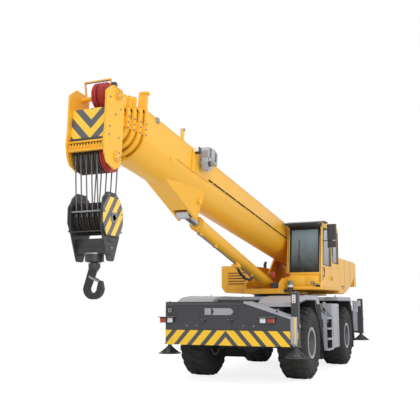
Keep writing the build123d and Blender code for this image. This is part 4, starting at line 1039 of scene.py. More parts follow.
class CRANE_OT_deck(bpy.types.Operator):
    """Black sheets of painted shade under the arches, rubber lips, mudflaps, rails, steps and tank fittings"""

    bl_idname = "crane.deck"
    bl_label = "Deck"

    def execute(self, context):
        self.add_arch_shade_sheets_and_lips()
        self.add_trim()
        self.add_tank_parts()
        self.add_rear_steps()
        return {"FINISHED"}

    def add_arch_shade_sheets_and_lips(self):
        """Black sheet of painted shade under each wing, following its arch, with a rolled rubber edge outside,
        and mudflaps.
        """
        thick, lip = 0.008, sizes().lip
        front = ((3.39, 1.79), (3.14, 1.896), (2.98, 1.896), (2.50, 1.956), (1.565, 1.956), (0.70, 0.612))
        rear = ((-1.27, 1.956), (-3.085, 1.956), (-3.745, 0.664))
        front_leg = ((0.98, 1.78), (0.65, 0.612), (0.69, 0.612), (1.45, 1.85), (1.02, 1.85))
        rear_leg = ((-3.18, 1.85), (-3.085, 1.93), (-3.745, 0.664), (-3.785, 0.664), (-3.40, 1.80))
        bm = bmesh.new()
        for side in (-1, 1):
            inner, outer = side * 0.66, side * (WING_Y - 0.01)
            # black strips along each arch's underside: painted shade under the wing
            for chain in (front, rear):
                for (x1, z1), (x2, z2) in zip(chain, chain[1:]):
                    drop = Vector((z1 - z2, 0, x2 - x1)).normalized() * thick
                    strip(bm, at(x1, inner, z1), at(x2, inner, z2), drop, (0, outer - inner, 0))
            # dark sides of the guards' lower legs
            for outline in (front_leg, rear_leg):
                plate(bm, [at(x, side * (WING_Y + 0.001), z) for x, z in outline], (0, side * 0.006, 0))
            # black panel behind the ladder's rungs: painted shade in the ladder's recess
            block(bm, at(0.265, side * 1.45, 1.18), (0.60, 0.012, 1.12), 0.003)
            block(bm, at(-0.036, side * 1.545, 1.05), (0.006, 0.188, 0.86), 0.002)
            # black strip under the slot between the chassis and the front wing, which it narrows: painted shade
            # in the slot
            block(bm, at(2.36, side * 0.53, 1.84), (2.12, 0.20, 0.012))
        finish_piece("dark_sheets_and_painted_shade", bm, "carrier", "seal", smooth=20, slot="trim_black")
        bm = bmesh.new()
        front = (
            (3.39, 1.80), (3.14, 1.89), (2.98, 1.89), (2.50, 1.945), (1.575, 1.945), (1.50, 1.90), (0.71, 0.60),
        )
        rear = ((-1.27, 1.945), (-3.075, 1.945), (-3.13, 1.90), (-3.745, 0.65))
        for side in (-1, 1):
            for chain in (front, rear):
                bar_run(bm, [at(x, side * (WING_Y + lip / 4), z) for x, z in chain], lip / 2, 10)
        finish_piece("arch_lips", bm, "carrier", "seal", smooth=50, slot="trim_black")
        bm = bmesh.new()
        for side in (-1, 1):
            for x, z, tall in ((0.655, 0.50, 0.26), (-3.79, 0.56, 0.24)):
                block(bm, at(x, side * 1.10, z), (0.012, 0.86, tall), 0.004)
        finish_piece("mudflaps", bm, "carrier", "seal", smooth=20, slot="trim_black")

    def add_trim(self):
        """Edge angle round the deck, hatch covers, tie-down eyes and the engine's grating."""
        bm = bmesh.new()
        for side in (-1, 1):
            for (x1, z1), (x2, z2) in (
                ((1.27, 2.062), (2.50, 2.062)), ((2.50, 2.062), (3.06, 2.012)), ((3.06, 2.012), (3.40, 1.892)),
                ((-3.28, 2.062), (-1.26, 2.062)),
            ):
                start, end = at(x1, side * 1.555, z1), at(x2, side * 1.555, z2)
                strip(bm, start, end, (0, 0, 0.01), (0, side * 0.014, 0))
            for x in (2.2, 1.5, -1.6, -2.6):
                block(bm, at(x, side * 1.30, 2.064), (0.30, 0.30, 0.008), 0.003)
                corner_bolts(bm, at(x, side * 1.30, 2.068), 0.12, 0.014)
            for x in (1.30, -1.35):
                rod(bm, at(x, side * 1.48, 2.06), at(x, side * 1.48, 2.12), 0.014, 10, 1)
        block(bm, at(-3.83, 0, 2.068), (0.92, 0.80, 0.016), 0.004)
        for row in range(9):
            block(bm, at(-4.15 + 0.08 * row, 0, 2.079), (0.03, 0.66, 0.008), 0.002)
        finish_piece("deck_trim", bm, "carrier", "panel", "steel", smooth=30, slot="deck_grey")

    def add_tank_parts(self):
        """Straps and ribs of tank and locker, filler cap, sight tube, latches, ladder grips and treads."""
        bm = bmesh.new()
        for side in (-1, 1):
            for x in (-0.88, -0.21):
                block(bm, at(x, side * 1.643, 1.24), (0.045, 0.008, 1.20), 0.003)
                block(bm, at(x, side * 1.20, 1.864), (0.045, 0.85, 0.008), 0.003)
                for z in (0.74, 1.74):
                    bolt(bm, at(x, side * 1.647, z), (0, side, 0), 0.020, 1)
            for z in (0.95, 1.25, 1.55):
                block(bm, at(-0.545, side * 1.642, z), (0.56, 0.005, 0.012), 0.002)
            for x in (0.02, 0.51):
                grip = ((1.62, 1.36), (1.655, 1.36), (1.655, 1.50), (1.37, 1.86))
                bar_run(bm, [at(x, side * y, z) for y, z in grip], 0.012, 10, 1)
            for y, z in ((1.61, 0.642), (1.61, 0.922), (1.61, 1.202), (1.58, 1.482)):
                for x in (0.08, 0.18, 0.28, 0.38, 0.48):
                    block(bm, at(x, side * y, z), (0.05, 0.10, 0.006), 0.001)
        rod(bm, at(-0.55, 1.30, 1.86), at(-0.55, 1.30, 1.90), 0.07, 24, 1)
        rod(bm, at(-0.55, 1.30, 1.90), at(-0.55, 1.30, 1.915), 0.055, 24, 1)
        rod(bm, at(-0.16, 1.648, 0.95), at(-0.16, 1.648, 1.55), 0.008, 8, 1)
        for z in (0.85, 1.62):
            block(bm, at(-0.545, -1.646, z), (0.10, 0.014, 0.05), 0.005, 1)
        finish_piece("tank_parts", bm, "carrier", "panel", "steel", smooth=35, slot="deck_grey")

    def add_rear_steps(self):
        """Two ladders behind the rear wheels, each with a plate on top."""
        bm = bmesh.new()
        for side in (-1, 1):
            for x in (-3.86, -4.08, -4.30):
                block(bm, at(x, side * 1.555, 1.47), (0.025, 0.07, 0.98), 0.004)
            for z in (0.99, 1.30, 1.62, 1.94):
                block(bm, at(-4.08, side * 1.555, z), (0.46, 0.075, 0.055), 0.006)
            block(bm, at(-4.08, side * 1.34, 1.94), (0.46, 0.36, 0.02), 0.004)
            block(bm, at(-4.31, side * 1.45, 1.30), (0.03, 0.16, 0.05), 0.004)
        finish_piece("rear_steps", bm, "carrier", "panel", smooth=30, slot="deck_grey")


# ---- Running gear ----


class CRANE_OT_running_gear(bpy.types.Operator):
    """Differential housings, shafts, track rods, steering cylinders and springs under the chassis"""

    bl_idname = "crane.running_gear"
    bl_label = "Running gear"

    def execute(self, context):
        bm = bmesh.new()
        for facing in (1, -1):
            x, back = facing * AXLE_X, facing * (AXLE_X - 0.22)
            ball(bm, at(x, 0, AXLE_Z), 0.26, 0, (1, 1, 1.02), 20)
            rod(bm, at(x - facing * 0.34, 0, 0.90), at(x - facing * 0.20, 0, 0.90), 0.12, 20, 0, 0.18)
            for side in (-1, 1):
                rod(bm, at(x, side * 0.26, AXLE_Z), at(x, side * 0.34, AXLE_Z), 0.19, 24)
                bolt_ring(bm, at(x, side * 0.34, AXLE_Z), 0.16, 12, (0, side, 0), 0.016, 1)
            # track rod, steering cylinder and its rod
            crossbar(bm, at(back, 0, 0.80), 0.78, 0.022, 12, 1)
            crossbar(bm, at(back, 0, 0.98), 0.42, 0.045, 16)
            crossbar(bm, at(back, 0, 0.98), 0.70, 0.020, 12, 1)
            # shaft to the gearbox, and its flange
            rod(bm, at(facing * 1.88, 0, 0.90), at(facing * 0.55, 0, 1.02), 0.05, 16, 1)
            rod(bm, at(facing * 0.50, 0, 1.02), at(facing * 0.58, 0, 1.02), 0.10, 20)
        block(bm, at(0, 0, 1.02), (1.0, 0.46, 0.40), 0.05)
        finish_piece("running_gear", bm, "carrier", "charcoal", "steel", smooth=40, slot="chassis_grey")
        bm = bmesh.new()
        for y in (-0.47, 0.47):
            for z, half in ((1.075, 0.50), (1.055, 0.40), (1.035, 0.30)):
                block(bm, at(-AXLE_X, y, z - 0.02), (2 * half, 0.05, 0.016), 0.003)
        finish_piece("springs", bm, "carrier", "charcoal", smooth=30, slot="chassis_grey")
        return {"FINISHED"}


# ---- Cab ----


class CRANE_OT_cab(bpy.types.Operator):
    """Screen borders, wiper, sills, handles, controls and lamps of the cab"""

    bl_idname = "crane.cab"
    bl_label = "Cab"

    def execute(self, context):
        self.add_seals()
        self.add_front()
        self.add_door_parts()
        self.add_controls()
        self.add_roof_parts()
        return {"FINISHED"}

    def screen(self, share, y, out=0.012):
        """A point on the windscreen: share runs from its sill to its head."""
        sill_x, head_x, sill_z, tall = 0.496, 0.308, 2.735, 1.29
        return at(sill_x + (head_x - sill_x) * share + out, y, sill_z + tall * share + out * 0.15)

    def add_seals(self):
        """Black borders inside the window openings, and seams of the rubber round them."""
        left, right, edge = 0.595, 1.455, 0.008
        bm = bmesh.new()
        for y, wide, low_share, high_share in (
            (left, 0.045, 0.0, 1.0), (right - 0.045, 0.045, 0.0, 1.0), (left, right - left, 0.0, 0.04),
            (left, right - left, 0.95, 1.0),
        ):
            strip(bm, self.screen(low_share, y), self.screen(high_share, y), (0, wide, 0), (-0.006, 0, 0))
        # rubber profile standing round the screen and round the two side windows
        corners = ((0, left - edge), (1, left - edge), (1, right + edge), (0, right + edge), (0, left - edge))
        bar_run(bm, [self.screen(share, y, 0.02) for share, y in corners], 0.011, 8)
        window = ((-1.68, 3.075), (-0.82, 3.075), (-0.82, 4.025), (-1.68, 4.025), (-1.68, 3.075))
        for y in (DOOR_FACE + 0.002, 0.519):
            bar_run(bm, [at(x, y, z) for x, z in window], 0.010, 8)
        finish_piece("cab_seals", bm, "superstructure", "seal", smooth=40, slot="trim_black")
        bm = bmesh.new()
        opening = ((-0.62, 2.95), (-0.62, 4.02), (0.16, 4.02), (0.21, 3.95), (0.37, 2.95), (-0.62, 2.95))
        bar_run(bm, [at(x, DOOR_FACE + 0.002, z) for x, z in opening], 0.010, 8)
        finish_piece("door_seal", bm, "door", "seal", smooth=40, slot="trim_black")

    def add_front(self):
        """Sculpted nose panel under the screen, its step and lamps, the wiper and the pillars' trim."""
        lamps = ((1.28, 2.44, 0.042, 0.020), (1.36, 2.39, 0.036, 0.016))  # y, z, radius of case and lens
        bm = bmesh.new()
        # a shallow bulge over the cab's lower front, thickest under the screen
        for y, wide in ((0.80, 0.50), (1.24, 0.40)):
            block(bm, at(0.577, y, 2.50), (0.045, wide, 0.26), 0.02)
        block(bm, at(0.592, 1.025, 2.285), (0.03, 0.96, 0.06), 0.012)
        block(bm, at(0.552, 1.025, 2.700), (0.06, 0.94, 0.03), 0.01)
        finish_piece("cab_nose", bm, "superstructure", "yellow", smooth=40, slot="crane_yellow")
        bm = bmesh.new()
        # wiper: motor, arm and blade
        block(bm, at(0.535, 1.02, 2.69), (0.04, 0.12, 0.05), 0.01)
        rod(bm, at(0.53, 1.02, 2.70), at(0.56, 1.02, 2.70), 0.02, 14)
        rod(bm, at(0.55, 1.02, 2.70), self.screen(0.42, 0.86, 0.03), 0.008, 8)
        rod(bm, self.screen(0.12, 0.84, 0.024), self.screen(0.72, 0.88, 0.024), 0.009, 8)
        # work lamps under the nose and a step
        for y, z, radius, _ in lamps:
            rod(bm, at(0.595, y, z), at(0.625, y, z), radius, 20)
        block(bm, at(0.60, 1.44, 2.36), (0.03, 0.10, 0.06), 0.008)
        # header under the visor
        block(bm, at(0.318, 1.025, 4.098), (0.04, 0.98, 0.13), 0.008)
        visor_rib = ((0.30, 4.165), (0.70, 4.078), (0.70, 4.05), (0.30, 4.12))
        plate(bm, [at(x, 0.53, z) for x, z in visor_rib], (0, 0.96, 0))
        for y, top in ((0.56, 3.98), (1.49, 4.0)):
            rod(bm, at(0.60, y, 2.45), at(0.38, y, top), 0.009, 8)
        finish_piece("cab_front_parts", bm, "superstructure", "black", smooth=40, slot="trim_black")
        bm = bmesh.new()
        for y, z, _, radius in lamps:
            rod(bm, at(0.62, y, z), at(0.628, y, z), radius, 20)
        block(bm, at(0.60, 0.575, 2.683), (0.05, 0.13, 0.085), 0.012, 1)
        finish_piece("cab_lamps", bm, "superstructure", "white", "red", smooth=40, slot="trim_black")

    def add_moulding(self, bm, line):
        """A raised line, 35 mm tall, along the cab's side."""
        for (x1, z1), (x2, z2) in zip(line, line[1:]):
            strip(bm, at(x1, DOOR_FACE, z1), at(x2, DOOR_FACE, z2), (0, 0, -0.035), (0, 0.012, 0))

    def add_door_parts(self):
        """Handle, grab rail, hinge bolts and mirror glass, and the line from the door into the fairing."""
        bm = bmesh.new()
        block(bm, at(0.30, 1.538, 2.80), (0.13, 0.016, 0.045), 0.006)
        block(bm, at(0.30, 1.552, 2.80), (0.11, 0.014, 0.022), 0.005)
        rail = ((1.53, 2.62), (1.575, 2.62), (1.575, 2.86), (1.53, 2.86))
        bar_run(bm, [at(0.40, y, z) for y, z in rail], 0.011, 10)
        for z in (2.60, 3.80):
            for x in (-0.64, -0.60):
                for dz in (-0.025, 0.025):
                    bolt(bm, at(x, 1.568, z + dz), (0, 1, 0), 0.014, 1)
        for z, tall in ((3.87, 0.40), (3.526, 0.145)):
            block(bm, at(0.232, 1.79, z), (0.010, 0.225, tall), 0.004, 2)
        finish_piece("door_parts", bm, "door", "black", "steel", "mirror", smooth=40, slot="trim_black")
        bm = bmesh.new()
        self.add_moulding(bm, ((0.47, 2.72), (0.36, 2.80), (0.16, 2.875), (-0.10, 2.905), (-0.66, 2.915)))
        finish_piece("door_moulding", bm, "door", "yellow", smooth=40, slot="crane_yellow")
        bm = bmesh.new()
        self.add_moulding(bm, ((-0.74, 2.915), (-1.30, 2.95), (-1.80, 3.06)))
        for z in (2.36, 2.46):
            block(bm, at(-1.20, 1.532, z), (0.62, 0.006, 0.018), 0.002)
        finish_piece("cab_moulding", bm, "superstructure", "yellow", smooth=40, slot="crane_yellow")

    def add_controls(self):
        """Steering column and wheel, levers, dashboard, pedals and the seat's parts, seen through the glass."""
        bm = bmesh.new()
        block(bm, at(0.20, 1.02, 2.72), (0.28, 0.80, 0.10), 0.03, 0, nod(0.35))
        block(bm, at(0.18, 0.70, 2.87), (0.06, 0.24, 0.20), 0.02, 0, nod(-0.2))
        # steering column, wheel and its three spokes
        foot, top, hub = at(0.16, 1.03, 2.35), at(-0.02, 1.03, 2.98), at(-0.03, 1.03, 3.0)
        rod(bm, foot, top, 0.045, 14)
        axis = (top - foot).normalized()
        up = axis.cross(ACROSS).normalized()
        outline = []
        for step in range(10):
            angle = 2 * math.pi * step / 10
            outline.append(hub + up * (0.19 + 0.015 * math.cos(angle)) + axis * 0.015 * math.sin(angle))
        spin_ring(bm, outline, hub, axis, 28)
        for step in range(3):
            angle = 2 * math.pi * step / 3 + 0.5
            rod(bm, hub, hub + (up * math.cos(angle) + ACROSS * math.sin(angle)) * 0.185, 0.012, 8)
        for y in (0.72, 1.34):
            block(bm, at(-0.74, y, 2.90), (0.55, 0.09, 0.10), 0.03)
            rod(bm, at(-0.50, y, 2.92), at(-0.47, y, 3.10), 0.012, 10)
            ball(bm, at(-0.47, y, 3.12), 0.028, 0, (1, 1, 1.5), 12)
        for y in (0.90, 1.05, 1.20):
            block(bm, at(0.30, y, 2.42), (0.02, 0.07, 0.12), 0.006, 0, nod(-0.5))
        finish_piece("cab_controls", bm, "superstructure", "black", smooth=40, slot="trim_black")
        bm = bmesh.new()
        block(bm, at(-1.16, 1.03, 3.62), (0.11, 0.30, 0.22), 0.04, 0, nod(-0.2))
        for y in (0.795, 1.265):
            block(bm, at(-0.72, y, 2.915), (0.52, 0.06, 0.07), 0.03)
            block(bm, at(-1.0, y, 3.20), (0.12, 0.06, 0.52), 0.03, 0, nod(-0.22))
        finish_piece("seat_bolsters", bm, "superstructure", "seat", smooth=50, slot="seat_black")

    def add_roof_parts(self):
        """Raised panels and rails on the cab's roof, and its beacon."""
        bm = bmesh.new()
        block(bm, at(-1.20, 1.02, 4.195), (0.70, 0.62, 0.03), 0.01)
        for y in (0.56, 1.48):
            block(bm, at(-0.80, y, 4.186), (1.9, 0.03, 0.014), 0.004)
        finish_piece("roof_panels", bm, "superstructure", "yellow", smooth=40, slot="crane_yellow")
        bm = bmesh.new()
        x, y = -1.62, 0.75
        rod(bm, at(x, y, 4.18), at(x, y, 4.21), 0.075, 20, 1)
        rod(bm, at(x, y, 4.21), at(x, y, 4.32), 0.062, 20, 0, 0.052)
        ball(bm, at(x, y, 4.32), 0.052, 0, (1, 1, 0.5), 16)
        finish_piece("roof_beacon", bm, "superstructure", "amber", "black", smooth=40, slot="trim_black")


# ---- Bodywork ----


class CRANE_OT_bodywork(bpy.types.Operator):
    """Louvres, seams, latches, drum rope, lamps and pipes of the superstructure"""

    bl_idname = "crane.bodywork"
    bl_label = "Bodywork"

    def execute(self, context):
        self.add_louvres()
        self.add_fairing_parts()
        self.add_winch_rope()
        self.add_turntable_parts()
        return {"FINISHED"}

    def add_louvres(self):
        """Slanted blades in the housing's slots, its side vents, seams, latches, hinges and exhaust pipe."""
        bm = bmesh.new()
        for row in range(5):
            z = 2.44 + 0.078 * row
            block(bm, at(0.645, -0.95, z + 0.020), (0.03, 0.56, 0.006), 0.002, 0, nod(0.5))
            # a thin black plate behind each blade: painted shade seen through the slot
            block(bm, at(0.610, -0.95, z), (0.006, 0.535, 0.032), 0, 1)
        for x in (-1.65, -0.85, -0.05):
            for row in range(7):
                block(bm, at(x, -1.456, 2.55 + 0.045 * row), (0.42, 0.012, 0.014), 0.003, 1)
        for x in (-2.05, -1.25, -0.45, 0.35):
            block(bm, at(x, -1.452, 2.66), (0.010, 0.006, 0.56), 0.001, 1)
            block(bm, at(x + 0.07, -1.458, 2.66), (0.03, 0.018, 0.10), 0.006, 1)
        for x in (-1.9, -0.9, 0.1):
            for dx in (-0.25, 0.25):
                rod(bm, at(x + dx - 0.03, -1.40, 2.966), at(x + dx + 0.03, -1.40, 2.966), 0.012, 10, 1)
        block(bm, at(-0.80, -1.0, 2.966), (2.5, 0.010, 0.010), 0.002, 1)
        rod(bm, at(-1.7, -0.85, 2.96), at(-1.7, -0.85, 3.14), 0.05, 20, 1)
        rod(bm, at(-1.7, -0.85, 3.14), at(-1.78, -0.85, 3.20), 0.045, 20, 1)
        finish_piece("louvre_parts", bm, "superstructure", "yellow", "black", smooth=35, slot="trim_black")
        bm = bmesh.new()
        for row in range(6):
            block(bm, at(0.653, -0.95, 2.405 + 0.078 * row), (0.008, 0.58, 0.014), 0.003)
        rod(bm, at(0.40, -1.18, 2.965), at(0.40, -1.18, 3.03), 0.03, 16)
        block(bm, at(0.655, -0.95, 2.29), (0.012, 0.66, 0.02), 0.004)
        for y in (-0.62, -1.27):
            block(bm, at(0.655, y, 2.56), (0.012, 0.02, 0.52), 0.004)
        finish_piece("louvre_frames", bm, "superstructure", "yellow", smooth=35, slot="crane_yellow")

    def add_fairing_parts(self):
        """Seams, vents and a grip on the left fairing, and pads, eyes and bolts on the counterweight."""
        bm = bmesh.new()
        for x, z1, z2 in ((-2.62, 2.25, 3.25), (-3.55, 2.48, 3.25)):
            block(bm, at(x, 1.531, (z1 + z2) / 2), (sizes().seam, 0.004, z2 - z1), 0.001)
        block(bm, at(-2.30, 1.534, 2.40), (0.46, 0.010, 0.04), 0.004)
        block(bm, at(-2.35, 1.534, 2.33), (0.30, 0.010, 0.02), 0.004)
        rod(bm, at(0.42, 1.533, 2.52), at(0.42, 1.533, 2.66), 0.010, 8)
        for y in (-1.1, 0.0, 1.1):
            block(bm, at(-4.79, y, 3.256), (0.30, 0.10, 0.012), 0.004)
        finish_piece("fairing_parts", bm, "superstructure", "black", smooth=35, slot="trim_black")
        bm = bmesh.new()
        for y in (-0.9, 0.9):
            rod(bm, at(-4.60, y, 3.25), at(-4.60, y, 3.27), 0.09, 20)
            for leg in (-0.05, 0.05):
                rod(bm, at(-4.60, y + leg, 3.27), at(-4.60, y + leg, 3.33), 0.014, 10)
            crossbar(bm, at(-4.60, y, 3.33), 0.06, 0.014, 10)
        for y in (-1.2, 1.2):
            bolt(bm, at(-4.39, y, 2.80), (1, 0, 0), 0.03)
        finish_piece("counterweight_eyes", bm, "superstructure", "steel", smooth=40, slot="machined_steel")

    def add_winch_rope(self):
        """Rope wound on both drums, turn beside turn."""
        turns, wound, thick = 24, 0.196, 0.0155
        strand = []
        for step in range(6):
            angle = math.pi / 3 * step
            strand.append((thick * math.cos(angle), wound + thick * math.sin(angle)))
        for name, z in (("upper", 3.12), ("lower", 2.56)):
            bm = bmesh.new()
            for turn in range(turns):
                lathe(bm, at(-4.11, -0.385 + 0.77 * turn / (turns - 1), z), strand, 28)
            finish_piece(f"drum_rope_{name}", bm, "superstructure", "rope", smooth=60, slot="wire_rope")

    def add_turntable_parts(self):
        """Pivot covers, bolts, ribs, valve box, lamps and pipes on the turntable's frame."""
        bm = bmesh.new()
        for side in (-1, 1):
            inner, outer = at(-2.2, side * 0.52, 3.5), at(-2.2, side * 0.542, 3.5)
            rod(bm, inner, outer, 0.13, 32)
            bolt_ring(bm, outer, 0.10, 8, (0, side, 0), 0.022, 1)
        for y in (-0.40, -0.13, 0.13, 0.40):
            block(bm, at(1.204, y, 2.225), (0.012, 0.03, 0.08), 0.003)
        bolt_ring(bm, at(-0.45, 0, 2.175), 0.80, 24, (0, 0, 1), 0.026, 1, up=ACROSS)
        finish_piece("turntable_parts", bm, "superstructure", "yellow", "steel", smooth=35, slot="crane_yellow")
        bm = bmesh.new()
        block(bm, at(0.98, 0.30, 2.33), (0.22, 0.18, 0.24), 0.02)
        block(bm, at(1.05, 0.275, 2.66), (0.10, 0.11, 0.17), 0.012, 1)
        rod(bm, at(1.02, 0.275, 2.45), at(1.05, 0.275, 2.58), 0.014, 10)
        # beacon: socket, clear ring and teal dome
        x, y = 0.70, 0.665
        rod(bm, at(x, y, 2.27), at(x, y, 2.32), 0.085, 24)
        rod(bm, at(x, y, 2.32), at(x, y, 2.385), 0.078, 24, 3)
        rod(bm, at(x, y, 2.385), at(x, y, 2.46), 0.074, 24, 2, 0.068)
        ball(bm, at(x, y, 2.46), 0.068, 2, (1, 1, 0.8), 20)
        block(bm, at(0.72, 0.62, 2.235), (0.30, 0.20, 0.07), 0.01)
        finishes = ("black", "red", "teal", "white")
        finish_piece("turntable_lamps", bm, "superstructure", *finishes, smooth=40, slot="trim_black")
        bm = bmesh.new()
        for y, z in ((-0.34, 2.26), (-0.28, 2.30)):
            rod(bm, at(1.10, y, z), at(0.30, y - 0.04, z + 0.05), 0.016, 10)
        finish_piece("turntable_pipes", bm, "superstructure", "steel", smooth=40, slot="machined_steel")


# ---- Boom and luffing cylinder ----


class CRANE_OT_boom(bpy.types.Operator):
    """Conduit, ribs, collar screws, reel and work lamp of the boom, and the cylinder's gland and pipes"""

    bl_idname = "crane.boom"
    bl_label = "Boom"

    def execute(self, context):
        self.add_conduit()
        self.add_bracket_edges()
        self.add_collar_parts()
        self.add_reel_parts()
        self.add_cylinder_parts()
        return {"FINISHED"}

    def add_conduit(self):
        """Conduit on the boom's left side, on its clamps."""
        bm = bmesh.new()
        rod(bm, boom(0.9, -0.05, 0.455), boom(8.30, -0.05, 0.455), 0.014, 10)
        for step in range(11):
            boom_block(bm, (1.1 + 0.7 * step, -0.05, 0.452), (0.045, 0.03, 0.05), 0.004, 1)
        finish_piece("boom_conduit", bm, "boom", "seal", "yellow", smooth=50, slot="trim_black")

    def add_bracket_edges(self):
        """Ribs along the keel bracket's edges, side pads and the boom's stiffening strips."""
        bm = bmesh.new()
        for side in (-1, 1):
            for (s1, n1, y1), (s2, n2, y2) in (
                ((9.85, -0.10, 0.446), (8.30, -0.10, 0.446)), ((8.33, -0.10, 0.440), (8.33, -0.88, 0.225)),
            ):
                rod(bm, boom(s1, n1, side * y1), boom(s2, n2, side * y2), 0.012, 8)
            rod(bm, boom(8.47, -0.55, side * 0.30), boom(8.47, -0.55, side * 0.36), 0.06, 24)
            for s in (2.4, 4.8, 7.2, 10.1):
                boom_block(bm, (s, 0.06, side * 0.441), (0.06, 0.006, 0.50), 0.002)
            rod(bm, boom(-0.30, 0.36, side * 0.446), boom(11.05, 0.36, side * 0.446), 0.006, 6)
        finish_piece("boom_ribs", bm, "boom", "yellow", smooth=40, slot="crane_yellow")

    def add_collar_parts(self):
        """Pad screws round each section's collar, and the lugs and guides on top of the base section."""
        for index in range(5):
            proud = 0.022 - 0.042 * index  # each section is that much slimmer than the one round it
            end = 11.145 + 0.135 * index
            bm = bmesh.new()
            for side in (-1, 1):
                for n in (-0.10, 0.0, 0.10):
                    bolt(bm, boom(end, n, side * (BOOM_SIDE + proud)), (0, side, 0), 0.024)
            for y in (-0.16, -0.05, 0.05, 0.16):
                bolt(bm, boom(end, 0.392 + proud, y), BOOM_UP, 0.024)
            body = "boom" if index == 0 else f"section_{index + 1}"
            finish_piece(f"collar_screws_{index + 1}", bm, body, "steel", smooth=35, slot="machined_steel")
        bm = bmesh.new()
        boom_block(bm, (11.145, 0.685, 0.40), (0.09, 0.14, 0.05), 0.01)
        boom_block(bm, (9.59, 0.45, 0.40), (0.08, 0.05, 0.30), 0.006)
        boom_block(bm, (10.73, 0.34, 0.445), (0.09, 0.04, 0.10), 0.006, 1)
        rod(bm, boom(9.59, 0.60, 0.36), boom(9.59, 0.60, 0.44), 0.03, 16, 1)
        finish_piece("boom_top_parts", bm, "boom", "yellow", "steel", smooth=40, slot="crane_yellow")

    def add_reel_parts(self):
        """Work lamp on its arm, the cable reel's hub and its guards."""
        bm = bmesh.new()
        boom_block(bm, (9.14, 0.10, 0.462), (0.10, 0.04, 0.46), 0.006)
        boom_block(bm, (9.10, 0.33, 0.50), (0.13, 0.17, 0.12), 0.014, 1)
        boom_block(bm, (9.172, 0.33, 0.50), (0.012, 0.145, 0.095), 0.004, 2)
        hub_s, hub_n = 8.738, 0.152
        rod(bm, boom(hub_s, hub_n, 0.632), boom(hub_s, hub_n, 0.66), 0.06, 20, 1)
        bolt_ring(bm, boom(hub_s, hub_n, 0.631), 0.11, 6, ACROSS, 0.016, 3, BOOM_DIR, BOOM_UP)
        boom_block(bm, (8.60, 0.385, 0.645), (0.34, 0.012, 0.18), 0.006, 4)
        for s in (8.46, 8.74):
            boom_block(bm, (s, 0.385, 0.655), (0.03, 0.016, 0.20), 0.004, 1)
        finishes = ("yellow", "black", "white", "steel", "grey_case")
        finish_piece("reel_parts", bm, "boom", *finishes, smooth=40, slot="trim_black")

    def add_cylinder_parts(self):
        """Gland, bands, oil pipe, clamps and feed pipe of the luffing cylinder, and its rod eye's bush."""
        bm = bmesh.new()
        for s1, s2, r in ((5.60, 5.735, 0.162), (0.30, 0.36, 0.158), (5.735, 5.75, 0.135)):
            rod(bm, barrel(s1, 0), barrel(s2, 0), r, 48)
        bolt_ring(bm, barrel(5.735, 0), 0.148, 10, ROD_DIR, 0.02, 1, ROD_UP, ACROSS)
        for s in (2.05, 3.2, 4.6, 5.5):
            block(bm, barrel(s, -0.165), (0.09, 0.10, 0.05), 0.008, 0, BARREL_TURN)
        block(bm, barrel(3.1, -0.20), (0.20, 0.14, 0.10), 0.015, 0, BARREL_TURN)
        finish_piece("cylinder_parts", bm, "cylinder_barrel", "yellow", "steel", smooth=40, slot="crane_yellow")
        bm = bmesh.new()
        pipe = [barrel(1.90, -0.185), barrel(5.60, -0.185), barrel(5.66, -0.14)]
        bar_run(bm, pipe, sizes().pipe / 2, 12)
        finish_piece("cylinder_pipe", bm, "cylinder_barrel", "steel", smooth=50, slot="machined_steel")
        bm = bmesh.new()
        bends = (
            (3.0, -0.22, -0.03), (2.7, -0.29, -0.05), (2.3, -0.31, -0.06), (1.98, -0.26, -0.05),
            (1.86, -0.16, -0.03),
        )
        bar_run(bm, [barrel(*bend) for bend in bends], 0.036, 12)
        for bend in bends[1:]:
            ball(bm, barrel(*bend), 0.036, 0, segments=12)
        finish_piece("cylinder_feed_pipe", bm, "cylinder_barrel", "black", smooth=50, slot="trim_black")
        bm = bmesh.new()
        crossbar(bm, barrel(6.36, 0), 0.142, 0.075, 32)
        finish_piece("rod_eye_bush", bm, "cylinder_rod", "steel", smooth=40, slot="machined_steel")


# ---- Boom head and hook block ----


